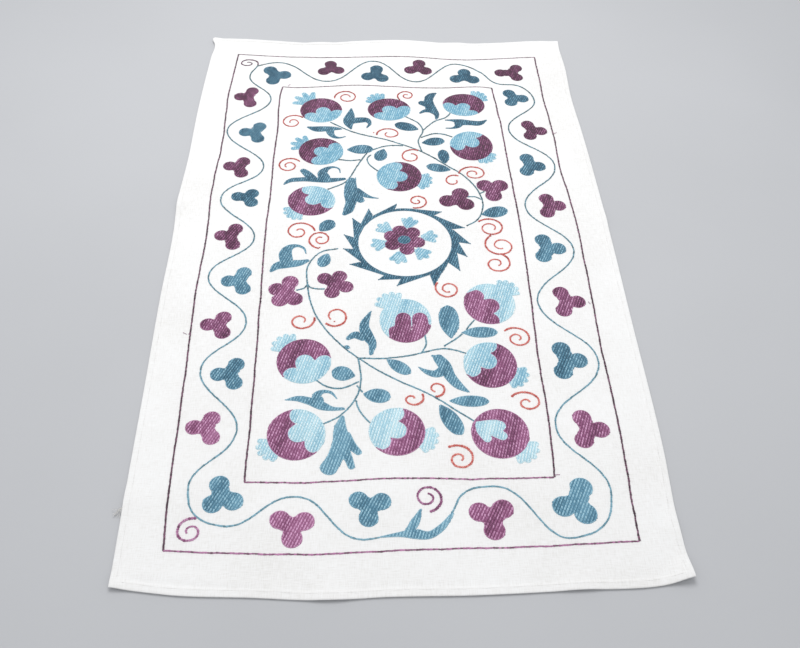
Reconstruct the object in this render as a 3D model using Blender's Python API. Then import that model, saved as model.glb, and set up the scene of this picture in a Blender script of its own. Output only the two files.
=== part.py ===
"""A suzani: one hemmed cotton cloth, laid flat, with raised embroidery.

The pattern is drawn in millimetres on the cloth, +X to the right and +Y to the far edge.
The model is in metres, +Z up, with its origin under the middle of the cloth's box.
"""
import math
from collections import namedtuple

import bmesh
import bpy
import numpy as np
from mathutils import Vector
from mathutils.geometry import delaunay_2d_cdt

NAME = "suzani_cloth"
MM = 0.001

# Thickness of the cloth and of what is sewn on it, in millimetres
SHEET = 1.2
HEM_RISE = 0.8
HEM_WIDTH = 9.0
HEM_STEP = 1.5
FILL_RISE = 0.9
FILL_EDGE = 1.5
LINE_RISE = 0.7
LINE_WIDTH = 2.2
SPIRAL_WIDTH = 2.0

# How finely outlines are divided, in millimetres
EDGE_SPACING = 38
FRAME_SPACING = 60
VINE_SPACING = 20
STEM_SPACING = 20
STROKE_SPACING = 14
SPIRAL_STEP_DEG = 52
SEAM_TOLERANCE = 0.05
# Outlines this deep in another fill aren't drawn
HIDDEN_DEPTH = 3.0

# Sides of the cloth and of its two frame lines: turning points from corner to corner
CLOTH = {
    "far": [(-298, 505), (-240, 503), (-200, 499), (-118, 492.5), (-50, 500.5), (22, 504.5),
            (118, 494.5), (200, 499), (250, 504.5), (297.5, 505)],
    "right": [(297.5, 505), (296.5, 485), (298.5, 425), (296.5, 340), (300, 250), (303.8, 50),
              (303.5, -150), (302.6, -340), (298.5, -440), (301, -498)],
    "near": [(301, -498), (270, -504.3), (181, -508.5), (69, -512.8), (-22, -513.4), (-75, -516),
             (-158, -512), (-235, -508.5), (-270, -504), (-299, -500)],
    "left": [(-299, -500), (-301, -400), (-303, -250), (-305.5, -100), (-305.3, 20), (-308, 80),
             (-305, 180), (-305, 290), (-300.4, 450), (-298.7, 488), (-302.5, 498), (-301.5, 504),
             (-298, 505)],
}
OUTER_FRAME = {
    "far": [(-255, 457), (-171, 449.8), (-120, 448.7), (-22, 452.3), (22, 454), (118, 444.9),
            (250, 454.5)],
    "right": [(250, 454.5), (250.4, 400), (250, 340), (253.8, 250), (253, 160), (257.7, 90),
              (258.5, -80), (256, -200), (257.2, -280), (253.4, -400), (251.7, -454.5)],
    "near": [(251.7, -454.5), (150, -459), (0, -462), (-90, -465.5), (-150, -464.5), (-250.2, -459.6)],
    "left": [(-250.2, -459.6), (-253.6, -400), (-256.2, -260), (-260.4, -110), (-259.4, 50),
             (-261.5, 90), (-257.7, 230), (-260.4, 340), (-257, 410), (-255, 457)],
}
INNER_FRAME = {
    "far": [(-174.3, 363.2), (-160, 361.3), (-120, 363.6), (-60, 369), (32, 364.3), (81, 362.6),
            (156, 365.7), (168.3, 363.6)],
    "right": [(168.3, 363.6), (170.8, 320), (174, 260), (175, 200), (178.7, 50), (177.2, -100),
              (175.3, -180), (174.9, -300), (173.4, -345), (171.3, -375)],
    "near": [(171.3, -375), (85, -376.8), (0, -375), (-130, -379.6), (-173.2, -377.9)],
    "left": [(-173.2, -377.9), (-172.9, -300), (-175, -150), (-177.6, 0), (-178, 60), (-176.9, 90),
             (-177.4, 150), (-176.2, 260), (-176.2, 350), (-174.3, 363.2)],
}

# Where the cloth lifts off the surface along its edge, fading out over its reach
Lift = namedtuple("Lift", "x y reach height")
LIFTS = [
    Lift(301, -498, 34, 6.5), Lift(-299, -500, 26, 2.5), Lift(-302.5, 498, 20, 2.5),
    Lift(-118, 492.5, 32, 2.2), Lift(118, 494.5, 32, 2.0), Lift(-308, 80, 30, 2.6),
    Lift(-301, -400, 26, 2.0), Lift(303.8, 50, 28, 1.8), Lift(298.5, -440, 28, 1.6),
    Lift(-75, -516, 36, 1.8), Lift(181, -508.5, 34, 1.6),
]
# Soft ridges left by folding, across the bare margins
Crease = namedtuple("Crease", "x0 y0 x1 y1 half_width height")
CREASES = [
    Crease(-304, 51, -268, 50, 8, 0.8), Crease(266, 50, 300, 50, 8, 0.8),
    Crease(-296, -176, -268, -214, 7, 0.6), Crease(-284, -482, -120, -503, 7, 0.7),
]

# The wandering vine of the border, in two runs that meet at the split leaf
VINE_FULLNESS = 1.3
VINE = [
    [(-220, 422), (-195, 432), (-99, 380), (-26, 439), (43, 380), (117, 431), (152, 409), (175, 378.5),
     (216, 368), (234, 337), (185, 255), (245.7, 165), (190.6, 75), (247, -12), (186, -110),
     (249, -212), (182.6, -305), (231.5, -400), (218, -434), (185, -449.5), (101, -386.5),
     (72, -392.5), (54, -418.7)],
    [(-24, -447), (-38, -449), (-116, -396.6), (-195, -431), (-221, -419), (-233, -390), (-187.7, -312),
     (-239, -217), (-191, -150), (-246.6, -60), (-193, 5), (-246.6, 95), (-192, 155),
     (-253, 250), (-192, 328), (-229.6, 399), (-220, 422)],
]
# Stems of the field, from the wreath and its branches to each fruit and blossom
STEMS = [
    [(-95, 270), (-65, 249), (0, 223), (43, 200), (79, 168), (109, 138), (126, 106), (129, 72),
     (118, 44.5), (103, 33)],
    [(-97, 109), (-69, 127), (-52, 164), (-35, 195.5), (-7, 211.5), (18, 211.5)],
    [(-80, 178.5), (-62, 176), (-47, 178)],
    [(-31, 190), (-37, 182), (-35, 170), (-21, 152)],
    [(46, 197), (42, 225), (50, 250), (46, 265), (24, 285)],
    [(50, 250), (71, 274), (88, 283), (97, 297)],
    [(46, 232), (69, 242), (84, 240), (95, 234)],
    [(127, 102), (134, 107)],
    [(128, 89), (120, 94.5), (109, 94.5)],
    [(-77, -12), (-99, -18), (-117, -47), (-116, -79), (-101, -137), (-65, -188), (-48, -204)],
    [(-48, -204), (0, -203), (30, -196), (60, -190), (88, -198)],
    [(30, -196), (36, -182), (35, -167)],
    [(59, -186), (81.5, -167), (100, -142)],
    [(-48, -204), (-31, -218.5), (-11.5, -232), (33, -257.5), (88, -298.5)],
    [(-48, -204), (-44.8, -238), (-50.5, -264.5), (-69, -289.5), (-89, -301.5)],
    [(-99, -237), (-88, -246), (-70, -250), (-47, -240)],
    [(-51, -268), (-48, -280), (-33, -303)],
    [(-43, -256), (-50, -246)],
    [(-116, -79), (-120, -86), (-130, -90)],
    [(-117, -77), (-113, -84), (-105, -87), (-93, -87)],
]

# Pomegranates: half width and height; the crown's heading, reach, fingers and the part of it that is
# webbed; the kind of tulip inside, its heading and how far it sits forward and left of the middle
Fruit = namedtuple("Fruit", "x y rx ry crown reach fingers web tulip heading ahead aside")
FRUITS = [
    Fruit(-110, 301, 33.2, 31.7, 132, 34, 4, 0.64, "open", 101, 0.0, -0.08),
    Fruit(-2, 304, 34, 29, 126, 27, 5, 0.74, "open", 118, 0.09, 0.0),
    Fruit(118.5, 317, 33.6, 29.5, 42, 25.5, 5, 0.78, "open", 58, -0.08, -0.08),
    Fruit(-107, 198, 33.7, 32, 149, 29, 4, 0.66, "open", 144, 0.09, 0.0),
    Fruit(-117, 86, 33.9, 31.7, -133, 26, 5, 0.8, "open", 222, 0.03, 0.0),
    Fruit(10.4, 139.7, 33.3, 33.3, -16, 27.5, 5, 0.82, "open", -11, 0.15, 0.0),
    Fruit(123, 212.6, 32.8, 35, -53, 24.5, 5, 0.76, "open", -45, 0.0, 0.2),
    Fruit(11.6, -142.5, 33, 37, 121, 30, 5, 0.82, "double", 90, 0.0, 0.0),
    Fruit(122, -114, 33.5, 35.5, 46, 27, 5, 0.8, "open", 23, 0.1, -0.12),
    Fruit(114, -215, 32.9, 35.6, -31, 27, 5, 0.82, "open", -34, -0.03, 0.08),
    Fruit(-115, -208, 33.3, 34.9, 132, 28, 5, 0.78, "open", 116, 0.04, 0.0),
    Fruit(-119, -315.5, 33.6, 35.3, -147, 26, 5, 0.78, "open", 207, 0.05, 0.0),
    Fruit(-3, -312.4, 32.8, 33.3, -18, 27, 5, 0.82, "open", -23, 0.1, 0.04),
    Fruit(116.6, -316, 33.6, 34.4, -42, 27.5, 5, 0.84, "closed", -31, 0.0, 0.0),
]
PALE_FRUITS = (7, 8)
# Lobes of each kind of tulip, in radii of the fruit: forward, to the left, radius
TULIPS = {
    "open": [(-0.12, 0.0, 0.35), (-0.46, 0.63, 0.35), (-0.46, -0.63, 0.35)],
    "double": [(0.04, 0.08, 0.31), (0.04, -0.56, 0.31), (-0.50, 0.44, 0.23), (-0.42, -0.88, 0.22)],
    "closed": [(0.11, -0.06, 0.18), (-0.14, 0.26, 0.21), (-0.31, -0.41, 0.17)],
}
# How far the lobes run to the right and left, and what closes each kind behind: forward, to the left
TULIP_SPREAD = {"open": (0.93, 0.93), "double": (0.97, 0.66), "closed": (0.47, 0.47)}
TULIP_BACK = {
    "open": [(-1.3, 0.93), (-1.3, -0.93)],
    "double": [(-1.2, 0.6), (-1.2, -0.97)],
    "closed": [(-0.36, 0.42), (-0.57, 0.29), (-0.8, 0.1), (-0.94, -0.01), (-0.86, -0.21), (-0.71, -0.39),
               (-0.5, -0.5), (-0.3, -0.58), (-0.18, -0.55)],
}

# Trefoils and clovers: radius and centres of the lobes
BLOSSOMS = [
    ("teal", 11, [(-198, 410), (-174, 397), (-192, 381)]),
    ("plum", 10, [(-98, 428.5), (-109, 408), (-85, 411.5)]),
    ("teal", 10.5, [(-21, 416), (-36, 394.5), (-12, 390)]),
    ("plum", 10.5, [(51, 433.5), (36, 414), (61, 411.5)]),
    ("teal", 10.5, [(125.5, 407), (111, 389), (139, 387)]),
    ("plum", 10, [(187, 407), (214.5, 421), (213, 394.5)]),
    ("plum", 10, [(-223, 351), (-241, 336), (-224, 318)]),
    ("teal", 10, [(-204, 258), (-225, 244), (-205, 228.5)]),
    ("plum", 10, [(-222, 173), (-241, 162.6), (-223, 146.6)]),
    ("teal", 9.5, [(-203, 101), (-223, 94.5), (-203, 82)]),
    ("plum", 10, [(-220, 27), (-238, 13.6), (-221, -4.5)]),
    ("teal", 10, [(-201, -58), (-220, -73), (-200, -87)]),
    ("plum", 10, [(-220, -137), (-238.5, -148.5), (-219, -162)]),
    ("teal", 10, [(-197, -213), (-217, -228), (-197, -241)]),
    ("plum", 10, [(-218, -293), (-237, -305), (-216, -319)]),
    ("teal", 11, [(-200, -381), (-205, -405), (-183, -402)]),
    ("plum", 11, [(-131, -425), (-105, -427), (-117, -447)]),
    ("teal", 10.5, [(-47, -402), (-22, -404), (-36, -424)]),
    ("plum", 11.5, [(84, -418), (110, -414.5), (98.5, -440)]),
    ("teal", 12.5, [(199.6, -389), (177, -412), (199.6, -421)]),
    ("teal", 10, [(195, 349), (196, 325), (215.5, 335)]),
    ("plum", 10, [(216, 266), (235, 250), (217, 238)]),
    ("teal", 10.5, [(205, 183), (221, 164), (202, 153)]),
    ("plum", 10.5, [(223, 91), (239, 76), (221, 61.5)]),
    ("teal", 11, [(207, 5), (226, -12), (204, -27)]),
    ("plum", 10.5, [(218, -95), (238, -111), (218, -126)]),
    ("teal", 11.5, [(205, -191), (224, -209), (203, -226)]),
    ("plum", 11, [(215, -295), (234, -312), (213, -326)]),
    ("plum", 12, [(98.5, 101.5), (79, 86), (105, 79)]),
    ("plum", 12, [(136, 120), (158, 120), (147, 98)]),
    ("plum", 11, [(-139, -75), (-155.5, -88), (-150.5, -107), (-132, -105)]),
    ("plum", 10, [(-93.5, -68.5), (-74, -64.5), (-65.5, -83.5), (-83.5, -93.5)]),
]

# Plain leaves: centre, length, width, heading of the pointed tip
Leaf = namedtuple("Leaf", "x y length width heading")
LEAVES = [
    Leaf(25, 259, 40, 20, -20), Leaf(-48, 203, 41, 21, 183), Leaf(-16, 190, 30, 19, 72),
    Leaf(64.5, 222, 36, 19, 190), Leaf(79, 186, 34, 17, -86), Leaf(70, 159.5, 38, 18, -14),
    Leaf(145, 62, 40, 22, 196), Leaf(-94, 33, 29, 20, 228), Leaf(-95, -34, 28, 17, 70),
    Leaf(67.5, -145, 57, 26, -88), Leaf(105, -163, 47, 18, 181), Leaf(-66, -228, 30, 22, -14),
    Leaf(1, -217, 37, 17, 142), Leaf(-26, -261, 34, 21, 172), Leaf(83.6, -270, 49, 16.5, 179),
    Leaf(60, -296, 50, 21, 118), Leaf(-62.5, -186, 8, 6, 140),
]

# Curling leaves: each stroke runs through stations of x, y and width
SCROLLS = [
    [[(-62, 307, 1), (-63.5, 289, 13.5), (-66, 271, 17), (-62, 252, 1)],
     [(-64, 273, 14), (-48, 276, 13.5), (-37, 275.5, 11), (-33, 268, 6), (-38, 255, 1)]],
    [[(-130, 257.5, 3), (-117, 253, 12.5), (-100, 253.5, 12), (-86, 254, 8), (-77, 253, 3)],
     [(-95, 252, 14), (-93.5, 242, 11), (-88, 233.5, 7), (-80, 231, 3.5), (-70, 234.5, 1.5)]],
    [[(-159, 121, 2), (-150, 130, 8), (-135, 132.5, 9), (-90, 131, 9.5), (-70, 134, 5)],
     [(-118, 135, 14), (-127, 147, 12), (-132.5, 153, 9)],
     [(-100, 136, 18), (-103, 148, 14), (-97, 157, 8), (-87, 161, 3.5), (-79, 157, 2.5), (-77, 147, 1)]],
    [[(-60, 132, 12), (-61, 116, 18), (-60, 98, 21), (-61, 80, 14.5), (-65, 64, 13), (-70, 57, 6)],
     [(-58, 125, 10), (-54, 137, 1)],
     [(-53, 106, 16), (-41, 98, 9), (-31, 93, 4), (-20, 91, 1)],
     [(-52, 96, 14), (-46, 86, 11)]],
    [[(76, 349, 1.5), (67, 342, 12), (62.5, 331, 14), (63, 318, 16), (66, 305, 17), (73.5, 291, 8.5),
      (72, 278, 2)],
     [(60, 317, 14), (50, 322, 11)],
     [(64, 301, 10), (54, 300, 7), (47, 294, 3)]],
    [[(86, 276.5, 2), (97, 276, 5), (110, 272, 14), (125, 270, 12), (140, 269, 11), (153, 278, 1)],
     [(108, 270, 16), (105, 261, 10), (98, 256.5, 4), (86, 256, 2)]],
    [[(-166, -56, 3), (-158, -45.5, 13), (-142, -41.5, 14), (-128, -39.5, 11), (-117, -35, 5)],
     [(-146, -36, 18), (-148, -20, 17), (-143, -10, 11), (-133, -6.5, 5), (-124, -11, 3.5),
      (-120, -23, 1)]],
    [[(-32, -126, 1), (-38, -140, 8), (-41, -151, 12), (-37, -168, 15), (-31, -180, 11), (-33, -198, 4)],
     [(-42, -170, 13), (-53, -166.5, 11), (-62, -173, 5)]],
    [[(50, -204, 13), (57, -215, 16), (63, -232, 14), (73, -247, 11), (85, -257, 2)],
     [(58, -222, 16), (46, -229, 11), (35, -225.5, 7), (25, -218, 1)],
     [(52, -205, 9), (42, -200, 2)]],
    [[(-135, -267, 1), (-120, -265, 8), (-105, -269, 11), (-90, -276, 12), (-78, -280, 6),
      (-65, -280, 4)],
     [(-96, -268, 15), (-97, -260, 11), (-91, -255, 6), (-81, -256, 4), (-73, -266, 1)]],
    [[(-66, -291, 4), (-68.5, -306, 14), (-67.5, -325, 19), (-73, -346, 18), (-81, -362, 20)],
     [(-63, -318, 14), (-55, -332, 11), (-47, -341, 8)],
     [(-65, -335, 14), (-59, -348, 10), (-55, -360, 8)]],
    [[(-24, -446.5, 1.5), (0, -443.5, 7), (12, -443, 12), (28, -445, 9), (42, -436, 8), (55, -419, 3)],
     [(4, -443, 6), (13, -431, 10), (21, -413, 1.5)]],
]

# Spirals wind in from the outer end: eye, radii, heading of the outer end, sweep, height over width
Spiral = namedtuple("Spiral", "thread x y outer inner heading sweep squash")
SPIRALS = [
    Spiral("coral", -70, 336, 19.5, 6, 189, -545, 0.95),
    Spiral("coral", -154, 270, 19.5, 4, 37, 533, 0.95),
    Spiral("coral", 27, 341, 16, 3, 228, -540, 0.95),
    Spiral("coral", -2, 241, 21, 6, 190, -420, 0.75),
    Spiral("coral", -154, 164, 18.8, 5, 32, 556, 0.95),
    Spiral("coral", 30, 186, 18, 7, 54, 401, 0.95),
    Spiral("coral", 121, 147, 22, 4.5, 180, -577, 0.82),
    Spiral("coral", 90, 130, 15, 5, 55, 330, 0.95),
    Spiral("coral", 34.5, 85, 17, 3, 248, 548, 0.92),
    Spiral("coral", 136, 29.5, 21, 6.5, 139, -540, 0.92),
    Spiral("coral", 147.5, -6, 24, 6, 119, 534, 0.95),
    Spiral("coral", 138.5, -41, 21, 4.5, 72, -500, 0.95),
    Spiral("coral", -132, 21.5, 22, 4.5, 4, 500, 0.95),
    Spiral("coral", -101.5, 6, 18, 4, 265, -565, 1.0),
    Spiral("coral", 69.5, -88, 18, 5.5, 138, 517, 1.0),
    Spiral("coral", -122, -142.5, 18, 5, 19, -414, 0.95),
    Spiral("coral", -77.5, -135, 17.5, 8, 222, 358, 1.05),
    Spiral("coral", 152, -173, 19.5, 4, 141, -560, 0.95),
    Spiral("coral", 153, -272.5, 20.5, 3, 151, -500, 0.85),
    Spiral("coral", 45.3, -251.5, 12, 5, 263, 352, 1.0),
    Spiral("coral", 16, -266, 14.5, 3, 35, -385, 0.85),
    Spiral("coral", 67, -350.3, 20, 3, 126, -536, 0.95),
    Spiral("plum", 28, -399.5, 18, 5, 277, 523, 0.98),
    Spiral("plum", -236.5, 430, 18, 4, -24, 500, 0.75),
    Spiral("plum", -225, -438, 17, 4, 73, 500, 0.95),
]

# The wreath in the middle, with its thorns, and the rosette inside it
Wreath = namedtuple("Wreath", "x y radius width")
WREATH = Wreath(15, 0, 67, 5.2)
WREATH_POINTS = 40
# Heading and distance of each thorn's tip from the middle of the wreath
THORNS = [(97, 80), (126, 85), (146, 88), (169.5, 86), (188, 86), (209, 87), (242, 80.5), (261, 83.5),
          (294, 89), (323, 91), (341.5, 89), (358, 91), (19, 90), (49, 83)]
ROSETTE_X, ROSETTE_Y = 14, 5
PETAL_HEADINGS = (107, 50, -15, -80, 210, 157)
TUFT_HEADINGS = (77, 10, -48, -103, 194, 139)

# Headings of the points round a lobe, from the way it faces
LOBE_TURNS = (-102, -68, -34, 0, 34, 68, 102)
# Fans, as a fruit's crown and the rosette's tufts: turn of the outer fingers, width of a finger
CROWN_TURN = 44
CROWN_FINGER = 7.2
TUFT_TURN = 34
TUFT_FINGER = 7.0

# Colour, roughness and sheen of the cotton and of each thread
FINISHES = {
    "cotton": ((0.86, 0.85, 0.83, 1), 0.9),
    "plum": ((0.20, 0.045, 0.14, 1), 0.6),
    "teal": ((0.08, 0.20, 0.30, 1), 0.6),
    "aqua": ((0.36, 0.66, 0.78, 1), 0.6),
    "coral": ((0.75, 0.17, 0.12, 1), 0.6),
}

# A filled area of stitches: its outline, and the inner points that stand at full height
Patch = namedtuple("Patch", "thread outline ridge")
# A stitched line, and the part of a fruit where a tulip shows
Line = namedtuple("Line", "thread path width closed")
Inlay = namedtuple("Inlay", "thread outline body")


def smooth(points, spacing, fullness=1.0):
    """A curve through every point, divided about evenly; a third column, such as width, is blended."""
    knots = np.array(points, float)
    gaps = np.hypot(*np.diff(knots[:, :2], axis=0).T)[:, None]
    slopes = np.diff(knots, axis=0) / gaps
    inner = (slopes[:-1] * gaps[1:] + slopes[1:] * gaps[:-1]) / (gaps[:-1] + gaps[1:])
    tangents = np.vstack([slopes[:1], inner * fullness, slopes[-1:]])
    path = []
    for i, gap in enumerate(gaps[:, 0]):
        steps = max(1, round(gap / spacing))
        for t in np.arange(steps) / steps:
            start = (1 + 2 * t) * (1 - t) ** 2 * knots[i] + t * (1 - t) ** 2 * gap * tangents[i]
            end = t * t * (3 - 2 * t) * knots[i + 1] - t * t * (1 - t) * gap * tangents[i + 1]
            path.append(start + end)
    return np.array(path + [knots[-1]])


def circuit(sides, spacing):
    """The closed line around four sides."""
    return np.vstack([smooth(points, spacing)[:-1] for points in sides.values()])


def polar(x, y, radius, heading):
    """The point at a distance and heading from another."""
    angle = math.radians(heading)
    return (x + radius * math.cos(angle), y + radius * math.sin(angle))


def oval(x, y, rx, ry, count):
    """Points around an ellipse."""
    angles = np.linspace(0, 2 * math.pi, count, endpoint=False)
    return np.column_stack([x + rx * np.cos(angles), y + ry * np.sin(angles)])


def sideways(path, closed=False):
    """The unit vector to the left of a path at each of its points."""
    if closed:
        steps = np.roll(path, -1, axis=0) - np.roll(path, 1, axis=0)
    else:
        steps = np.gradient(path, axis=0)
    steps = steps / np.hypot(*steps.T)[:, None]
    return np.column_stack([-steps[:, 1], steps[:, 0]])


def oval_patch(thread, x, y, rx, ry, count):
    """A round patch whose top is flat inside its rounded edge."""
    ridge = oval(x, y, rx - FILL_EDGE, ry - FILL_EDGE, max(5, count // 2))
    return Patch(thread, oval(x, y, rx, ry, count), np.vstack([ridge, ridge[:1]]))


def stroke_patch(thread, stations):
    """A tapering patch along a curve, blunt at its wide ends."""
    path = smooth(stations, STROKE_SPACING)
    half = path[:, 2:] / 2
    side = sideways(path[:, :2])
    forward = np.column_stack([side[:, 1], -side[:, 0]])
    left, right = path[:, :2] + side * half, path[:, :2] - side * half
    nose = path[-1:, :2] + forward[-1:] * half[-1:] * 0.6
    tail = path[:1, :2] - forward[:1] * half[:1] * 0.6
    ridge = path[:, :2][path[:, 2] > FILL_EDGE]
    return Patch(thread, np.vstack([left, nose, right[::-1], tail]), ridge)


def leaf_patch(leaf, count=5, belly=0.42):
    """A leaf with a round foot, widest at its belly, and a pointed tip."""
    t = np.linspace(0, 1, count + 1)
    foot = np.sqrt(np.clip(1 - (1 - t / belly) ** 2, 0, 1))
    tip = np.cos(math.pi / 2 * np.clip((t - belly) / (1 - belly), 0, 1) ** 1.25)
    wide = np.where(t < belly, foot, tip)
    along = (np.concatenate([t, t[-2:0:-1], t[1:-1]]) - 0.5) * leaf.length
    across = np.concatenate([-wide, wide[-2:0:-1], 0 * t[1:-1]]) * leaf.width / 2
    angle = math.radians(leaf.heading)
    points = np.column_stack([leaf.x + along * math.cos(angle) - across * math.sin(angle),
                              leaf.y + along * math.sin(angle) + across * math.cos(angle)])
    return Patch("teal", points[:2 * count], points[2 * count:])


def tulip_outline(fruit, count=17):
    """The scalloped edge of the tulip in a fruit, and what closes it behind."""
    right, left = TULIP_SPREAD[fruit.tulip]
    aside = np.linspace(-right, left, count)
    lobes = []
    for forward, centre, radius in TULIPS[fruit.tulip]:
        rise = np.sqrt(np.clip(radius ** 2 - (aside - centre) ** 2, 0, None))
        lobes.append(np.where(abs(aside - centre) < radius, forward + rise, -0.5))
    edge = np.vstack([np.column_stack([np.max(lobes, axis=0), aside]), TULIP_BACK[fruit.tulip]])
    ahead, aside = (edge + [fruit.ahead, fruit.aside]).T
    angle = math.radians(fruit.heading)
    return np.column_stack([
        fruit.x + (ahead * math.cos(angle) - aside * math.sin(angle)) * fruit.rx,
        fruit.y + (ahead * math.sin(angle) + aside * math.cos(angle)) * fruit.ry])


def fan_patch(x, y, heading, reach, count, turn, width, web):
    """Blunt fingers that spread from a point, joined over the part of their length given as web."""
    foot = np.array([x, y])
    outline, ridge = [], []
    for i, part in enumerate(np.linspace(-1, 1, count)):
        along = np.array(polar(0, 0, 1, heading + turn * part))
        across = np.array([-along[1], along[0]]) * width / 2
        tip = foot + along * reach * (1 - 0.07 * part ** 2)
        shoulder = tip - along * width * 0.35
        if i == 0:
            outline.append(foot - across)
        else:
            outline.append(polar(x, y, reach * web, heading + turn * (part - 1 / (count - 1))))
        outline += [shoulder - across, tip - across * 0.45, tip + across * 0.45, shoulder + across]
        ridge += [tip - along * width * 0.4, polar(x, y, reach * 0.4, heading)]
    outline.append(foot + across)
    return Patch("aqua", np.array(outline), np.array(ridge[:-1]))


def lobed_patch(thread, x, y, lobes, radius, notch):
    """Round lobes about a middle, with a notch between each two."""
    lobes = sorted(lobes, key=lambda lobe: math.atan2(lobe[1] - y, lobe[0] - x))
    headings = [math.degrees(math.atan2(lobe[1] - y, lobe[0] - x)) for lobe in lobes]
    outline, ridge = [], []
    for lobe, heading, following in zip(lobes, headings, headings[1:] + headings[:1]):
        between = heading + (following - heading) % 360 / 2
        outline += [polar(*lobe, radius, heading + turn) for turn in LOBE_TURNS]
        outline.append(polar(x, y, notch, between))
        ridge += [polar(*lobe, radius - FILL_EDGE, heading + turn) for turn in (-80, 0, 80)]
        ridge.append(polar(x, y, notch - FILL_EDGE, between))
    return Patch(thread, np.array(outline), np.array(ridge + ridge[:1]))


def fruit_patches(fruit, pale):
    """A pomegranate: its crown, its body and the tulip inlaid at its stem."""
    focus = polar(fruit.x, fruit.y, 0.7 * (fruit.rx + fruit.ry) / 2, fruit.crown)
    body = oval_patch("aqua" if pale else "plum", fruit.x, fruit.y, fruit.rx, fruit.ry, 18)
    inlay = Inlay("plum" if pale else "aqua", tulip_outline(fruit), body.outline)
    crown = fan_patch(*focus, fruit.crown, fruit.reach, fruit.fingers, CROWN_TURN, CROWN_FINGER,
                      fruit.web)
    return [crown, body, inlay]


def blossom_patch(thread, radius, lobes):
    """A trefoil or clover."""
    x, y = np.mean(lobes, axis=0)
    return lobed_patch(thread, x, y, lobes, radius, radius * 1.1)


def thorn_patch(heading, tip):
    """A tooth of the wreath: steep in front, with a long straight back that meets the ring."""
    base = WREATH.radius + WREATH.width / 2
    rise, back = tip - base, math.degrees(math.acos(base / tip))
    edge = [(tip, 0), (base - 1, 3), (base - 1.5, back / 2), (base, back)]
    crest = [(base + 0.55 * rise, 5), (base + 0.2 * rise, 12)]
    outline, ridge = (np.array([polar(WREATH.x, WREATH.y, radius, heading + turn) for radius, turn in line])
                      for line in (edge, crest))
    return Patch("teal", outline, ridge)


def rosette_patches():
    """Six petals and six tufts round a teal eye."""
    x, y = ROSETTE_X, ROSETTE_Y
    tufts = [fan_patch(*polar(x, y, 27, heading), heading, 21, 3, TUFT_TURN, TUFT_FINGER, 0.62)
             for heading in TUFT_HEADINGS]
    petals = [polar(x, y, 19, heading) for heading in PETAL_HEADINGS]
    return tufts + [lobed_patch("plum", x, y, petals, 9.8, 14), oval_patch("teal", x, y, 9, 8.2, 8)]


def spiral_path(item):
    """A spiral that winds in from its outer end."""
    steps = round(abs(item.sweep) / SPIRAL_STEP_DEG)
    t = np.linspace(0, 1, steps + 1)
    radius = item.inner + (item.outer - item.inner) * (1 - t) ** 1.25
    angle = np.radians(item.heading + item.sweep * t)
    return np.column_stack([item.x + radius * np.cos(angle),
                            item.y + radius * item.squash * np.sin(angle)])


def all_patches():
    """Every filled motif, in the order in which it is laid."""
    patches = [thorn_patch(*thorn) for thorn in THORNS] + rosette_patches()
    for i, fruit in enumerate(FRUITS):
        patches += fruit_patches(fruit, i in PALE_FRUITS)
    patches += [blossom_patch(*blossom) for blossom in BLOSSOMS]
    patches += [leaf_patch(leaf) for leaf in LEAVES]
    patches += [stroke_patch("teal", stations) for strokes in SCROLLS for stations in strokes]
    return patches


def all_lines():
    """Every stitched line."""
    ring = oval(WREATH.x, WREATH.y, WREATH.radius, WREATH.radius, WREATH_POINTS)
    lines = [Line("teal", ring, WREATH.width, True)]
    lines += [Line("teal", smooth(run, VINE_SPACING, VINE_FULLNESS), LINE_WIDTH, False) for run in VINE]
    lines += [Line("teal", smooth(run, STEM_SPACING), LINE_WIDTH, False) for run in STEMS]
    lines += [Line("plum", circuit(frame, FRAME_SPACING), LINE_WIDTH, True)
              for frame in (OUTER_FRAME, INNER_FRAME)]
    lines += [Line(item.thread, spiral_path(item), SPIRAL_WIDTH, False) for item in SPIRALS]
    return lines


def distance_to(points, path, closed):
    """Distance from each point to a path."""
    start = path if closed else path[:-1]
    step = (np.roll(path, -1, axis=0) if closed else path[1:]) - start
    offset = points[:, None] - start
    along = np.clip((offset * step).sum(axis=2) / (step ** 2).sum(axis=1), 0, 1)
    gap = offset - along[..., None] * step
    return np.sqrt((gap ** 2).sum(axis=2)).min(axis=1)


def is_inside(points, outline):
    """Whether a closed outline winds round each point."""
    x, y = points[:, :1], points[:, 1:]
    (x0, y0), (x1, y1) = outline.T, np.roll(outline, -1, axis=0).T
    side = (x1 - x0) * (y - y0) - (x - x0) * (y1 - y0)
    upward = (y0 <= y) & (y1 > y) & (side > 0)
    downward = (y0 > y) & (y1 <= y) & (side < 0)
    return upward.sum(axis=1) != downward.sum(axis=1)


def depth_inside(points, outline):
    """How far each point lies inside an outline, and 0 outside it."""
    return np.where(is_inside(points, outline), distance_to(points, outline, True), 0)


def relief(points, patches, lines):
    """Height of the stitching above the sheet."""
    height = np.zeros(len(points))
    for line in lines:
        gap = distance_to(points, line.path, line.closed)
        height = np.maximum(height, LINE_RISE * np.clip(1 - 2 * gap / line.width, 0, 1))
    for patch in patches:
        if isinstance(patch, Patch):
            depth = depth_inside(points, patch.outline)
            height = np.maximum(height, FILL_RISE * np.clip(depth / FILL_EDGE, 0, 1))
    return height


def lift(points):
    """Height of the sheet's underside: nought but at its lifted edges and its creases."""
    height = np.zeros(len(points))
    for item in LIFTS:
        gap = np.hypot(points[:, 0] - item.x, points[:, 1] - item.y) / item.reach
        height = np.maximum(height, item.height * (1 + np.cos(math.pi * np.minimum(gap, 1))) / 2)
    for item in CREASES:
        ridge = np.array([(item.x0, item.y0), (item.x1, item.y1)], float)
        gap = distance_to(points, ridge, False) / item.half_width
        height = np.maximum(height, item.height * np.clip(1 - gap, 0, 1))
    return height


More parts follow.
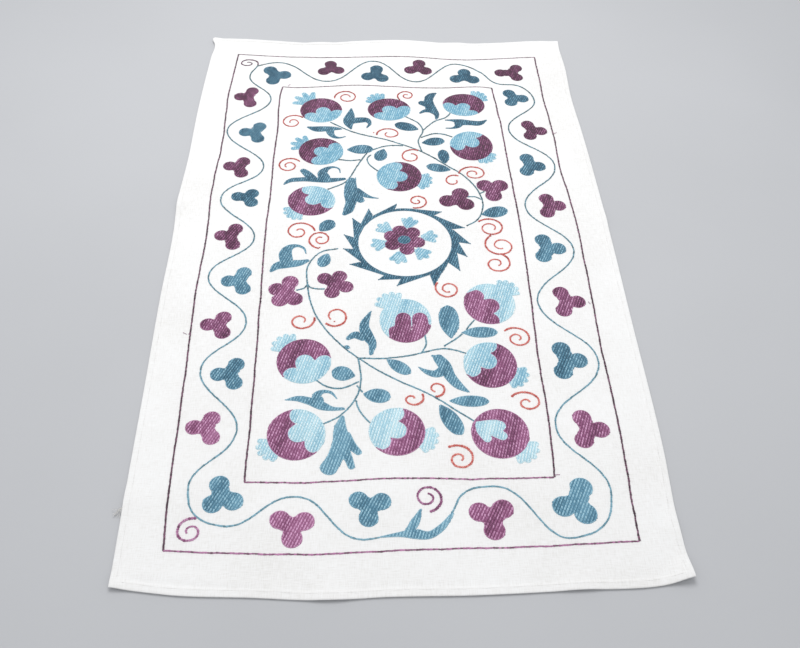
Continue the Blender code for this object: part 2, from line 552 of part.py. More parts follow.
def hem(points, outline):
    """Extra height of the folded hem."""
    depth = distance_to(points, outline, True)
    return HEM_RISE * np.clip((HEM_WIDTH + HEM_STEP - depth) / HEM_STEP, 0, 1)


def inset(outline, distance):
    """An outline drawn again inside itself."""
    return outline + sideways(outline, closed=True) * distance


def lift_rings(outline):
    """Points that shape each lifted edge: one ring half way out and one where it meets the surface."""
    rings = []
    for item in LIFTS:
        rings += [oval(item.x, item.y, item.reach / 2, item.reach / 2, 8),
                  oval(item.x, item.y, item.reach, item.reach, 10)]
    points = np.vstack(rings)
    return points[depth_inside(points, outline) > HEM_WIDTH + HEM_STEP + 2]


def crease_lines():
    """The crest and the two feet of each crease."""
    paths = []
    for item in CREASES:
        crest = np.array([(item.x0, item.y0), (item.x1, item.y1)], float)
        side = sideways(crest) * item.half_width
        paths += [crest, crest + side, crest - side]
    return paths


class Drawing:
    """Points and edges that the triangles of a surface have to follow."""

    def __init__(self, outline):
        self.points = []
        self.edges = []
        self.border = self.add(outline, closed=True)

    def add(self, path, closed=False):
        """Draw a path, and give the numbers of its points."""
        first = len(self.points)
        numbers = list(range(first, first + len(path)))
        self.points += [Vector(point) for point in path]
        self.edges += list(zip(numbers, numbers[1:]))
        if closed:
            self.edges.append((numbers[-1], first))
        return numbers

    def dot(self, points):
        """Add loose points."""
        self.points += [Vector(point) for point in points]

    def triangulate(self):
        """The points and triangles inside the border, and the border's new numbers."""
        result = delaunay_2d_cdt(self.points, self.edges, [self.border], 1, SEAM_TOLERANCE, True)
        points, triangles, origins = np.array(result[0]), np.array(result[2]), result[3]
        number = {old: new for new, olds in enumerate(origins) for old in olds}
        border = [number[old] for old in self.border]
        within = is_inside(points[triangles].mean(axis=1), points[border])
        return points, triangles[within], border


def draw_line(drawing, line):
    """Both edges and the crest of a stitched line."""
    side = sideways(line.path, line.closed) * line.width / 2
    drawing.add(line.path, line.closed)
    if line.closed:
        drawing.add(line.path + side, True)
        drawing.add(line.path - side, True)
    else:
        drawing.add(np.vstack([line.path + side, (line.path - side)[::-1]]), True)


def draw_patch(drawing, patch, others):
    """The ridge of a patch, and its outline but for what is hidden deep in another patch."""
    hidden = np.zeros(len(patch.outline), bool)
    for other in others:
        hidden |= depth_inside(patch.outline, other.outline) > HIDDEN_DEPTH
    following = np.roll(patch.outline, -1, axis=0)
    for point, after, skip in zip(patch.outline, following, hidden & np.roll(hidden, -1)):
        if not skip:
            drawing.add([point, after])
    drawing.add(patch.ridge)


def draw_inlay(drawing, inlay):
    """The edge of a tulip, where it crosses its fruit."""
    inside = is_inside(inlay.outline, inlay.body)
    following = np.roll(inlay.outline, -1, axis=0)
    for point, after, shown in zip(inlay.outline, following, inside | np.roll(inside, -1)):
        if shown:
            drawing.add([point, after])


def neighbours(patch, patches):
    """The patches whose boxes meet this one's."""
    low, high = patch.outline.min(axis=0), patch.outline.max(axis=0)
    return [other for other in patches if other is not patch and isinstance(other, Patch)
            and (other.outline.min(axis=0) < high).all() and (other.outline.max(axis=0) > low).all()]


def thread_of(points, patches, lines):
    """The number of the finish that shows at each point."""
    order = list(FINISHES)
    shown = np.zeros(len(points), int)
    for line in lines:
        shown[distance_to(points, line.path, line.closed) < line.width / 2] = order.index(line.thread)
    for patch in patches:
        inside = is_inside(points, patch.outline)
        if isinstance(patch, Inlay):
            inside &= is_inside(points, patch.body)
        shown[inside] = order.index(patch.thread)
    return shown


def make_material(name, colour, roughness):
    """A plain finish."""
    material = bpy.data.materials.new(name)
    material.use_nodes = True
    shader = material.node_tree.nodes["Principled BSDF"]
    shader.inputs["Base Color"].default_value = colour
    shader.inputs["Roughness"].default_value = roughness
    return material


def build_cloth():
    """One closed solid: the embroidered face, the underside, and the thin wall between their borders."""
    outline = circuit(CLOTH, EDGE_SPACING)[::-1]
    patches, lines = all_patches(), all_lines()
    face, back = Drawing(outline), Drawing(outline)
    for drawing in (face, back):
        drawing.dot(lift_rings(outline))
        for path in crease_lines():
            drawing.add(path)
    face.add(inset(outline, HEM_WIDTH), True)
    face.add(inset(outline, HEM_WIDTH + HEM_STEP), True)
    for line in lines:
        draw_line(face, line)
    for patch in patches:
        if isinstance(patch, Inlay):
            draw_inlay(face, patch)
        else:
            draw_patch(face, patch, neighbours(patch, patches))
    top, top_triangles, top_border = face.triangulate()
    low, low_triangles, low_border = back.triangulate()
    top_height = lift(top) + SHEET + hem(top, outline) + relief(top, patches, lines)
    finish = thread_of(top[top_triangles].mean(axis=1), patches, lines)
    middle = (outline.min(axis=0) + outline.max(axis=0)) / 2

    shell = bmesh.new()
    upper = [shell.verts.new((*(p - middle), z)) for p, z in zip(top, top_height)]
    lower = [shell.verts.new((*(p - middle), z)) for p, z in zip(low, lift(low))]
    for triangle, slot in zip(top_triangles, finish):
        shell.faces.new([upper[i] for i in triangle]).material_index = int(slot)
    for triangle in low_triangles:
        shell.faces.new([lower[i] for i in reversed(triangle)])
    for i, (a, c) in enumerate(zip(top_border, low_border)):
        b, d = top_border[i - 1], low_border[i - 1]
        shell.faces.new((upper[a], upper[b], lower[d], lower[c]))
    bmesh.ops.scale(shell, vec=(MM, MM, MM), verts=shell.verts)
    bmesh.ops.triangulate(shell, faces=shell.faces)
    bmesh.ops.recalc_face_normals(shell, faces=shell.faces)
    mesh = bpy.data.meshes.new(NAME)
    shell.to_mesh(mesh)
    shell.free()
    for name, (colour, roughness) in FINISHES.items():
        mesh.materials.append(make_material(name, colour, roughness))
    return bpy.data.objects.new(NAME, mesh)


def main():
    """Clear the scene and build the cloth."""
    for old in list(bpy.data.objects):
        bpy.data.objects.remove(old, do_unlink=True)
    collection = bpy.data.collections.new("suzani")
    bpy.context.scene.collection.children.link(collection)
    collection.objects.link(build_cloth())


main()
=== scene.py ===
"""A suzani laid flat: woven cotton with a sewn hem, and every stitch of its embroidery.

The pattern is drawn in millimetres, +X to the right and +Y to the far edge, and is then
moved so that the middle of the cloth lies over the frame's origin.
"""
import math
from collections import namedtuple

import bpy
import numpy as np
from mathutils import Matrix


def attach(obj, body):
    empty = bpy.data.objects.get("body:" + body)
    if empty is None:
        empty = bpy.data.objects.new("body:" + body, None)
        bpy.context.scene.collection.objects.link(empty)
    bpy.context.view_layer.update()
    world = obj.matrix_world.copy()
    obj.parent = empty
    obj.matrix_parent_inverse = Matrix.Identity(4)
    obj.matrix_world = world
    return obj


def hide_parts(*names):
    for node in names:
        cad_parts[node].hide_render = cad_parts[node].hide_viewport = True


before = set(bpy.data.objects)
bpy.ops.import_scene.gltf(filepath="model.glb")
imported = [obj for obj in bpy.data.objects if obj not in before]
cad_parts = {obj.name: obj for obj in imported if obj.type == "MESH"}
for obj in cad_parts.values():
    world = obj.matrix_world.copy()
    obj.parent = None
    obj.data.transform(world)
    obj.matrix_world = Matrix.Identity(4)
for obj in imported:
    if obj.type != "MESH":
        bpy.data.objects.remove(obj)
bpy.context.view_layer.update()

NODE = "suzani_cloth"
MM = 0.001

# The cloth and its hem, in millimetres
SHEET = 1.2
HEM_THICKNESS = 2.0
HEM_WIDTH = 9.0
WAVINESS = 0.4
GRID_STEP = 5.5
# Distances from the edge at which the rounded, folded hem is divided
HEM_STATIONS = (0, 0.25, 0.6, 1.1, 1.8, 3.5, 5.5, 7.2, 8.2, 8.8, 9.5, 10.3, 11.5, 14)

# Fills lie in leaning rows: laid thread along each row, and short slanted ties over it. For each kind
# of motif: heading of its rows, and how much lighter it is than the rest
ROW_LOOKS = {"fruit": (72, 0.04), "blossom": (66, 0.0), "leaf": (70, 0.08), "rosette": (58, -0.08),
             "wreath": (70, -0.15)}
ROW_PITCH = 3.3
LAID_HEIGHT = 0.45
# The laid thread is darkened as painted shade, standing for the shadow under and between the ties
LAID_PAINTED_SHADE = 0.36
TIE_STEP = 3.6
TIE_LENGTH = 4.6
TIE_WIDTH = 2.0
TIE_HEIGHT = 1.05
TIE_SLANT = 15
# Spacing at which a row is tested for its thread, and the shortest laid thread and tie that are made
SAMPLE = 0.35
SHORTEST_LAID = 0.6
SHORTEST_TIE = 0.9
# Small stitches along the edge of each fill
EDGE_STEP = 2.4
EDGE_INSET = 0.6
EDGE_WIDTH = 1.5
EDGE_HEIGHT = 0.7
EDGE_DARKER = 0.1

# Chain stitch, and how far a line strays over its length and from stitch to stitch
LINK_LENGTH = 2.9
LINE_WIDTH = 2.3
SPIRAL_WIDTH = 3.0
SPIRAL_DARKER = {"plum": 0.2, "coral": 0.0}
# How much wider a spiral is for each metre towards the near edge, and its width at the eye
SPIRAL_NEARER_WIDER = 0.35
SPIRAL_TAPER = 0.75
# A leg of a link: overlap in links, offsets from the middle, width and height in widths of the line
LEG_OVERLAP = 0.12
LEG_OFFSETS = (0.12, 0.27)
LEG_WIDTH = 0.56
LEG_HEIGHT = 0.36
SLOW_WAVER = 0.5
QUICK_WAVER = 0.25
# Tone and width of each side of the frames; the near side's lighter tone is painted sheen
FRAME_LOOKS = {"far": (0.3, 1.6), "right": (0.32, 2.45), "near": (0.7, 2.2), "left": (0.32, 2.4)}

# Sides of the cloth and of its two frame lines: turning points from corner to corner
CLOTH = {
    "far": [(-298, 505), (-240, 503), (-200, 499), (-118, 492.5), (-50, 500.5), (22, 504.5),
            (118, 494.5), (200, 499), (250, 504.5), (297.5, 505)],
    "right": [(297.5, 505), (296.5, 485), (298.5, 425), (296.5, 340), (300, 250), (303.8, 50),
              (303.5, -150), (302.6, -340), (298.5, -440), (301, -498)],
    "near": [(301, -498), (270, -504.3), (181, -508.5), (69, -512.8), (-22, -513.4), (-75, -516),
             (-158, -512), (-235, -508.5), (-270, -504), (-299, -500)],
    "left": [(-299, -500), (-301, -400), (-303, -250), (-305.5, -100), (-305.3, 20), (-308, 80),
             (-305, 180), (-305, 290), (-300.4, 450), (-298.7, 488), (-302.5, 498), (-301.5, 504),
             (-298, 505)],
}
OUTER_FRAME = {
    "far": [(-255, 457), (-171, 449.8), (-120, 448.7), (-22, 452.3), (22, 454), (118, 444.9),
            (250, 454.5)],
    "right": [(250, 454.5), (250.4, 400), (250, 340), (253.8, 250), (253, 160), (257.7, 90),
              (258.5, -80), (256, -200), (257.2, -280), (253.4, -400), (251.7, -454.5)],
    "near": [(251.7, -454.5), (150, -459), (0, -462), (-90, -465.5), (-150, -464.5), (-250.2, -459.6)],
    "left": [(-250.2, -459.6), (-253.6, -400), (-256.2, -260), (-260.4, -110), (-259.4, 50),
             (-261.5, 90), (-257.7, 230), (-260.4, 340), (-257, 410), (-255, 457)],
}
INNER_FRAME = {
    "far": [(-174.3, 363.2), (-160, 361.3), (-120, 363.6), (-60, 369), (32, 364.3), (81, 362.6),
            (156, 365.7), (168.3, 363.6)],
    "right": [(168.3, 363.6), (170.8, 320), (174, 260), (175, 200), (178.7, 50), (177.2, -100),
              (175.3, -180), (174.9, -300), (173.4, -345), (171.3, -375)],
    "near": [(171.3, -375), (85, -376.8), (0, -375), (-130, -379.6), (-173.2, -377.9)],
    "left": [(-173.2, -377.9), (-172.9, -300), (-175, -150), (-177.6, 0), (-178, 60), (-176.9, 90),
             (-177.4, 150), (-176.2, 260), (-176.2, 350), (-174.3, 363.2)],
}

# Where the cloth lifts off the surface along its edge, fading out over its reach
Lift = namedtuple("Lift", "x y reach height")
LIFTS = [
    Lift(301, -498, 34, 6.5), Lift(-299, -500, 26, 2.5), Lift(-302.5, 498, 20, 2.5),
    Lift(-118, 492.5, 32, 2.2), Lift(118, 494.5, 32, 2.0), Lift(-308, 80, 30, 2.6),
    Lift(-301, -400, 26, 2.0), Lift(303.8, 50, 28, 1.8), Lift(298.5, -440, 28, 1.6),
    Lift(-75, -516, 36, 1.8), Lift(181, -508.5, 34, 1.6),
]
# Soft ridges left by folding, across the bare margins
Crease = namedtuple("Crease", "x0 y0 x1 y1 half_width height")
CREASES = [
    Crease(-304, 51, -268, 50, 8, 0.8), Crease(266, 50, 300, 50, 8, 0.8),
    Crease(-296, -176, -268, -214, 7, 0.6), Crease(-284, -482, -120, -503, 7, 0.7),
]

# The wandering vine of the border, in two runs that meet at the split leaf
VINE_FULLNESS = 1.3
VINE = [
    [(-220, 422), (-195, 432), (-99, 380), (-26, 439), (43, 380), (117, 431), (152, 409), (175, 378.5),
     (216, 368), (234, 337), (185, 255), (245.7, 165), (190.6, 75), (247, -12), (186, -110),
     (249, -212), (182.6, -305), (231.5, -400), (218, -434), (185, -449.5), (101, -386.5),
     (72, -392.5), (54, -418.7)],
    [(-24, -447), (-38, -449), (-116, -396.6), (-195, -431), (-221, -419), (-233, -390), (-187.7, -312),
     (-239, -217), (-191, -150), (-246.6, -60), (-193, 5), (-246.6, 95), (-192, 155),
     (-253, 250), (-192, 328), (-229.6, 399), (-220, 422)],
]
# Stems of the field, from the wreath and its branches to each fruit and blossom
STEMS = [
    [(-95, 270), (-65, 249), (0, 223), (43, 200), (79, 168), (109, 138), (126, 106), (129, 72),
     (118, 44.5), (103, 33)],
    [(-97, 109), (-69, 127), (-52, 164), (-35, 195.5), (-7, 211.5), (18, 211.5)],
    [(-80, 178.5), (-62, 176), (-47, 178)],
    [(-31, 190), (-37, 182), (-35, 170), (-21, 152)],
    [(46, 197), (42, 225), (50, 250), (46, 265), (24, 285)],
    [(50, 250), (71, 274), (88, 283), (97, 297)],
    [(46, 232), (69, 242), (84, 240), (95, 234)],
    [(127, 102), (134, 107)],
    [(128, 89), (120, 94.5), (109, 94.5)],
    [(-77, -12), (-99, -18), (-117, -47), (-116, -79), (-101, -137), (-65, -188), (-48, -204)],
    [(-48, -204), (0, -203), (30, -196), (60, -190), (88, -198)],
    [(30, -196), (36, -182), (35, -167)],
    [(59, -186), (81.5, -167), (100, -142)],
    [(-48, -204), (-31, -218.5), (-11.5, -232), (33, -257.5), (88, -298.5)],
    [(-48, -204), (-44.8, -238), (-50.5, -264.5), (-69, -289.5), (-89, -301.5)],
    [(-99, -237), (-88, -246), (-70, -250), (-47, -240)],
    [(-51, -268), (-48, -280), (-33, -303)],
    [(-43, -256), (-50, -246)],
    [(-116, -79), (-120, -86), (-130, -90)],
    [(-117, -77), (-113, -84), (-105, -87), (-93, -87)],
]

# Pomegranates: half width and height; the crown's heading, reach, fingers and the part of it that is
# webbed; the kind of tulip inside, its heading and how far it sits forward and left of the middle
Fruit = namedtuple("Fruit", "x y rx ry crown reach fingers web tulip heading ahead aside")
FRUITS = [
    Fruit(-110, 301, 33.2, 31.7, 132, 34, 4, 0.64, "open", 101, 0.0, -0.08),
    Fruit(-2, 304, 34, 29, 126, 27, 5, 0.74, "open", 118, 0.09, 0.0),
    Fruit(118.5, 317, 33.6, 29.5, 42, 25.5, 5, 0.78, "open", 58, -0.08, -0.08),
    Fruit(-107, 198, 33.7, 32, 149, 29, 4, 0.66, "open", 144, 0.09, 0.0),
    Fruit(-117, 86, 33.9, 31.7, -133, 26, 5, 0.8, "open", 222, 0.03, 0.0),
    Fruit(10.4, 139.7, 33.3, 33.3, -16, 27.5, 5, 0.82, "open", -11, 0.15, 0.0),
    Fruit(123, 212.6, 32.8, 35, -53, 24.5, 5, 0.76, "open", -45, 0.0, 0.2),
    Fruit(11.6, -142.5, 33, 37, 121, 30, 5, 0.82, "double", 90, 0.0, 0.0),
    Fruit(122, -114, 33.5, 35.5, 46, 27, 5, 0.8, "open", 23, 0.1, -0.12),
    Fruit(114, -215, 32.9, 35.6, -31, 27, 5, 0.82, "open", -34, -0.03, 0.08),
    Fruit(-115, -208, 33.3, 34.9, 132, 28, 5, 0.78, "open", 116, 0.04, 0.0),
    Fruit(-119, -315.5, 33.6, 35.3, -147, 26, 5, 0.78, "open", 207, 0.05, 0.0),
    Fruit(-3, -312.4, 32.8, 33.3, -18, 27, 5, 0.82, "open", -23, 0.1, 0.04),
    Fruit(116.6, -316, 33.6, 34.4, -42, 27.5, 5, 0.84, "closed", -31, 0.0, 0.0),
]
PALE_FRUITS = (7, 8)
# Lobes of each kind of tulip, in radii of the fruit: forward, to the left, radius
TULIPS = {
    "open": [(-0.12, 0.0, 0.35), (-0.46, 0.63, 0.35), (-0.46, -0.63, 0.35)],
    "double": [(0.04, 0.08, 0.31), (0.04, -0.56, 0.31), (-0.50, 0.44, 0.23), (-0.42, -0.88, 0.22)],
    "closed": [(0.11, -0.06, 0.18), (-0.14, 0.26, 0.21), (-0.31, -0.41, 0.17)],
}
# How far the lobes run to the right and left, and what closes each kind behind: forward, to the left
TULIP_SPREAD = {"open": (0.93, 0.93), "double": (0.97, 0.66), "closed": (0.47, 0.47)}
TULIP_BACK = {
    "open": [(-1.3, 0.93), (-1.3, -0.93)],
    "double": [(-1.2, 0.6), (-1.2, -0.97)],
    "closed": [(-0.36, 0.42), (-0.57, 0.29), (-0.8, 0.1), (-0.94, -0.01), (-0.86, -0.21), (-0.71, -0.39),
               (-0.5, -0.5), (-0.3, -0.58), (-0.18, -0.55)],
}

# Trefoils and clovers: radius and centres of the lobes
BLOSSOMS = [
    ("teal", 11, [(-198, 410), (-174, 397), (-192, 381)]),
    ("plum", 10, [(-98, 428.5), (-109, 408), (-85, 411.5)]),
    ("teal", 10.5, [(-21, 416), (-36, 394.5), (-12, 390)]),
    ("plum", 10.5, [(51, 433.5), (36, 414), (61, 411.5)]),
    ("teal", 10.5, [(125.5, 407), (111, 389), (139, 387)]),
    ("plum", 10, [(187, 407), (214.5, 421), (213, 394.5)]),
    ("plum", 10, [(-223, 351), (-241, 336), (-224, 318)]),
    ("teal", 10, [(-204, 258), (-225, 244), (-205, 228.5)]),
    ("plum", 10, [(-222, 173), (-241, 162.6), (-223, 146.6)]),
    ("teal", 9.5, [(-203, 101), (-223, 94.5), (-203, 82)]),
    ("plum", 10, [(-220, 27), (-238, 13.6), (-221, -4.5)]),
    ("teal", 10, [(-201, -58), (-220, -73), (-200, -87)]),
    ("plum", 10, [(-220, -137), (-238.5, -148.5), (-219, -162)]),
    ("teal", 10, [(-197, -213), (-217, -228), (-197, -241)]),
    ("plum", 10, [(-218, -293), (-237, -305), (-216, -319)]),
    ("teal", 11, [(-200, -381), (-205, -405), (-183, -402)]),
    ("plum", 11, [(-131, -425), (-105, -427), (-117, -447)]),
    ("teal", 10.5, [(-47, -402), (-22, -404), (-36, -424)]),
    ("plum", 11.5, [(84, -418), (110, -414.5), (98.5, -440)]),
    ("teal", 12.5, [(199.6, -389), (177, -412), (199.6, -421)]),
    ("teal", 10, [(195, 349), (196, 325), (215.5, 335)]),
    ("plum", 10, [(216, 266), (235, 250), (217, 238)]),
    ("teal", 10.5, [(205, 183), (221, 164), (202, 153)]),
    ("plum", 10.5, [(223, 91), (239, 76), (221, 61.5)]),
    ("teal", 11, [(207, 5), (226, -12), (204, -27)]),
    ("plum", 10.5, [(218, -95), (238, -111), (218, -126)]),
    ("teal", 11.5, [(205, -191), (224, -209), (203, -226)]),
    ("plum", 11, [(215, -295), (234, -312), (213, -326)]),
    ("plum", 12, [(98.5, 101.5), (79, 86), (105, 79)]),
    ("plum", 12, [(136, 120), (158, 120), (147, 98)]),
    ("plum", 11, [(-139, -75), (-155.5, -88), (-150.5, -107), (-132, -105)]),
    ("plum", 10, [(-93.5, -68.5), (-74, -64.5), (-65.5, -83.5), (-83.5, -93.5)]),
]

# Plain leaves: centre, length, width, heading of the pointed tip
Leaf = namedtuple("Leaf", "x y length width heading")
LEAVES = [
    Leaf(25, 259, 40, 20, -20), Leaf(-48, 203, 41, 21, 183), Leaf(-16, 190, 30, 19, 72),
    Leaf(64.5, 222, 36, 19, 190), Leaf(79, 186, 34, 17, -86), Leaf(70, 159.5, 38, 18, -14),
    Leaf(145, 62, 40, 22, 196), Leaf(-94, 33, 29, 20, 228), Leaf(-95, -34, 28, 17, 70),
    Leaf(67.5, -145, 57, 26, -88), Leaf(105, -163, 47, 18, 181), Leaf(-66, -228, 30, 22, -14),
    Leaf(1, -217, 37, 17, 142), Leaf(-26, -261, 34, 21, 172), Leaf(83.6, -270, 49, 16.5, 179),
    Leaf(60, -296, 50, 21, 118), Leaf(-62.5, -186, 8, 6, 140),
]

# Curling leaves: each stroke runs through stations of x, y and width
SCROLLS = [
    [[(-62, 307, 1), (-63.5, 289, 13.5), (-66, 271, 17), (-62, 252, 1)],
     [(-64, 273, 14), (-48, 276, 13.5), (-37, 275.5, 11), (-33, 268, 6), (-38, 255, 1)]],
    [[(-130, 257.5, 3), (-117, 253, 12.5), (-100, 253.5, 12), (-86, 254, 8), (-77, 253, 3)],
     [(-95, 252, 14), (-93.5, 242, 11), (-88, 233.5, 7), (-80, 231, 3.5), (-70, 234.5, 1.5)]],
    [[(-159, 121, 2), (-150, 130, 8), (-135, 132.5, 9), (-90, 131, 9.5), (-70, 134, 5)],
     [(-118, 135, 14), (-127, 147, 12), (-132.5, 153, 9)],
     [(-100, 136, 18), (-103, 148, 14), (-97, 157, 8), (-87, 161, 3.5), (-79, 157, 2.5), (-77, 147, 1)]],
    [[(-60, 132, 12), (-61, 116, 18), (-60, 98, 21), (-61, 80, 14.5), (-65, 64, 13), (-70, 57, 6)],
     [(-58, 125, 10), (-54, 137, 1)],
     [(-53, 106, 16), (-41, 98, 9), (-31, 93, 4), (-20, 91, 1)],
     [(-52, 96, 14), (-46, 86, 11)]],
    [[(76, 349, 1.5), (67, 342, 12), (62.5, 331, 14), (63, 318, 16), (66, 305, 17), (73.5, 291, 8.5),
      (72, 278, 2)],
     [(60, 317, 14), (50, 322, 11)],
     [(64, 301, 10), (54, 300, 7), (47, 294, 3)]],
    [[(86, 276.5, 2), (97, 276, 5), (110, 272, 14), (125, 270, 12), (140, 269, 11), (153, 278, 1)],
     [(108, 270, 16), (105, 261, 10), (98, 256.5, 4), (86, 256, 2)]],
    [[(-166, -56, 3), (-158, -45.5, 13), (-142, -41.5, 14), (-128, -39.5, 11), (-117, -35, 5)],
     [(-146, -36, 18), (-148, -20, 17), (-143, -10, 11), (-133, -6.5, 5), (-124, -11, 3.5),
      (-120, -23, 1)]],
    [[(-32, -126, 1), (-38, -140, 8), (-41, -151, 12), (-37, -168, 15), (-31, -180, 11), (-33, -198, 4)],
     [(-42, -170, 13), (-53, -166.5, 11), (-62, -173, 5)]],
    [[(50, -204, 13), (57, -215, 16), (63, -232, 14), (73, -247, 11), (85, -257, 2)],
     [(58, -222, 16), (46, -229, 11), (35, -225.5, 7), (25, -218, 1)],
     [(52, -205, 9), (42, -200, 2)]],
    [[(-135, -267, 1), (-120, -265, 8), (-105, -269, 11), (-90, -276, 12), (-78, -280, 6),
      (-65, -280, 4)],
     [(-96, -268, 15), (-97, -260, 11), (-91, -255, 6), (-81, -256, 4), (-73, -266, 1)]],
    [[(-66, -291, 4), (-68.5, -306, 14), (-67.5, -325, 19), (-73, -346, 18), (-81, -362, 20)],
     [(-63, -318, 14), (-55, -332, 11), (-47, -341, 8)],
     [(-65, -335, 14), (-59, -348, 10), (-55, -360, 8)]],
    [[(-24, -446.5, 1.5), (0, -443.5, 7), (12, -443, 12), (28, -445, 9), (42, -436, 8), (55, -419, 3)],
     [(4, -443, 6), (13, -431, 10), (21, -413, 1.5)]],
]

# Spirals wind in from the outer end: eye, radii, heading of the outer end, sweep, height over width
Spiral = namedtuple("Spiral", "thread x y outer inner heading sweep squash")
SPIRALS = [
    Spiral("coral", -70, 336, 19.5, 6, 189, -545, 0.95),
    Spiral("coral", -154, 270, 19.5, 4, 37, 533, 0.95),
    Spiral("coral", 27, 341, 16, 3, 228, -540, 0.95),
    Spiral("coral", -2, 241, 21, 6, 190, -420, 0.75),
    Spiral("coral", -154, 164, 18.8, 5, 32, 556, 0.95),
    Spiral("coral", 30, 186, 18, 7, 54, 401, 0.95),
    Spiral("coral", 121, 147, 22, 4.5, 180, -577, 0.82),
    Spiral("coral", 90, 130, 15, 5, 55, 330, 0.95),
    Spiral("coral", 34.5, 85, 17, 3, 248, 548, 0.92),
    Spiral("coral", 136, 29.5, 21, 6.5, 139, -540, 0.92),
    Spiral("coral", 147.5, -6, 24, 6, 119, 534, 0.95),
    Spiral("coral", 138.5, -41, 21, 4.5, 72, -500, 0.95),
    Spiral("coral", -132, 21.5, 22, 4.5, 4, 500, 0.95),
    Spiral("coral", -101.5, 6, 18, 4, 265, -565, 1.0),
    Spiral("coral", 69.5, -88, 18, 5.5, 138, 517, 1.0),
    Spiral("coral", -122, -142.5, 18, 5, 19, -414, 0.95),
    Spiral("coral", -77.5, -135, 17.5, 8, 222, 358, 1.05),
    Spiral("coral", 152, -173, 19.5, 4, 141, -560, 0.95),
    Spiral("coral", 153, -272.5, 20.5, 3, 151, -500, 0.85),
    Spiral("coral", 45.3, -251.5, 12, 5, 263, 352, 1.0),
    Spiral("coral", 16, -266, 14.5, 3, 35, -385, 0.85),
    Spiral("coral", 67, -350.3, 20, 3, 126, -536, 0.95),
    Spiral("plum", 28, -399.5, 18, 5, 277, 523, 0.98),
    Spiral("plum", -236.5, 430, 18, 4, -24, 500, 0.75),
    Spiral("plum", -225, -438, 17, 4, 73, 500, 0.95),
]

# The wreath in the middle, with its thorns, and the rosette inside it
Wreath = namedtuple("Wreath", "x y radius width")
WREATH = Wreath(15, 0, 67, 5.2)
# Heading and distance of each thorn's tip from the middle of the wreath
THORNS = [(97, 80), (126, 85), (146, 88), (169.5, 86), (188, 86), (209, 87), (242, 80.5), (261, 83.5),
          (294, 89), (323, 91), (341.5, 89), (358, 91), (19, 90), (49, 83)]
ROSETTE_X, ROSETTE_Y = 14, 5
PETAL_HEADINGS = (107, 50, -15, -80, 210, 157)
TUFT_HEADINGS = (77, 10, -48, -103, 194, 139)
PETAL_PLACE, PETAL_RADIUS = 19, 10.4
ROSETTE_RADIUS = 16
EYE = (9, 8.2)
TUFT_PLACE, TUFT_REACH, TUFT_FINGERS, TUFT_WEB = 27, 21, 3, 0.74

# Fans, as a fruit's crown and the rosette's tufts: turn of the outer fingers, width of a finger
CROWN_TURN = 44
CROWN_FINGER = 7.2
TUFT_TURN = 34
TUFT_FINGER = 7.0

# Loose thread on the face: tails (where, heading and length), knots, and a frayed end at the hem
TAILS = [
    ("plum", -263, -165, 150, 6), ("plum", 254.5, 243, 30, 6), ("plum", 252, -111, -60, 5),
    ("plum", -165.7, 364, 60, 7), ("plum", 171.5, -373, 5, 7), ("plum", -258, -163, 215, 4),
]
KNOTS = [("coral", -27, 244), ("coral", 53, -87), ("coral", -102, -10), ("coral", -79, -144)]
FRAYED_AT = (-301, -409)
FRAYED_STRANDS = 7

# Screen colours of the cotton and of each thread: dark, middle and light
COTTON = ((221, 219, 216), (235, 234, 233), (242, 242, 242))
TONES = {
    "plum": ((82, 32, 66), (156, 88, 133), (216, 162, 200)),
    "teal": ((38, 88, 112), (98, 151, 176), (160, 203, 220)),
    "aqua": ((120, 178, 203), (194, 229, 240), (232, 247, 250)),
    "coral": ((168, 58, 52), (214, 104, 96), (236, 150, 140)),
    "vine": ((52, 86, 94), (96, 142, 158), (140, 188, 206)),
    "frame": ((64, 40, 54), (126, 86, 108), (206, 142, 186)),
    "white": ((214, 210, 204), (234, 232, 228), (245, 244, 242)),
}
# Painted sheen: how much lighter the threads are made, as tone for each metre towards the near edge
NEARER_PAINTED_SHEEN = 0.7
# Pitch of the cotton's yarns in metres, and of the ply of a thread in millimetres
YARN_PITCH = 0.0008
PLY_PITCH = 0.95

# Light and camera, in metres and degrees
FLOOR_HEIGHT = -0.0005
WORLD_STRENGTH = 0.745
LAMP_POWER = 17
LAMP_SIZE = 1.0
LAMP_PLACE = (-0.1, 0.62, 1.6)
CAMERA_PLACE = (-0.03329, -0.8989, 0.8789)
CAMERA_TURN = (40.759, -1.385, -1.405)
CAMERA_LENS = 40.93

THREADS = ("plum", "teal", "aqua", "coral")
# A filled area: its thread (none where the cloth is bare), its outline, and what bounds it further
Fill = namedtuple("Fill", "thread outline within")
# A stitch: both ends on the drawing and over the cloth's face, its size, and how light it is
Stitch = namedtuple("Stitch", "x0 y0 z0 x1 y1 z1 width height tone")
# Section of a stitch, from side to side over its top and back under it, in half widths and heights
SECTION = ((-1, 0.1), (-0.45, 0.9), (0.45, 0.9), (1, 0.1), (0, -0.25))


def smooth(points, spacing, fullness=1.0):
    """A curve through every point, divided about evenly; a third column, such as width, is blended."""
    knots = np.array(points, float)
    gaps = np.hypot(*np.diff(knots[:, :2], axis=0).T)[:, None]
    slopes = np.diff(knots, axis=0) / gaps
    inner = (slopes[:-1] * gaps[1:] + slopes[1:] * gaps[:-1]) / (gaps[:-1] + gaps[1:])
    tangents = np.vstack([slopes[:1], inner * fullness, slopes[-1:]])
    path = []
    for i, gap in enumerate(gaps[:, 0]):
        steps = max(1, round(gap / spacing))
        for t in np.arange(steps) / steps:
            start = (1 + 2 * t) * (1 - t) ** 2 * knots[i] + t * (1 - t) ** 2 * gap * tangents[i]
            end = t * t * (3 - 2 * t) * knots[i + 1] - t * t * (1 - t) * gap * tangents[i + 1]
            path.append(start + end)
    return np.array(path + [knots[-1]])


def circuit(sides, spacing):
    """The closed line around four sides."""
    return np.vstack([smooth(points, spacing)[:-1] for points in sides.values()])


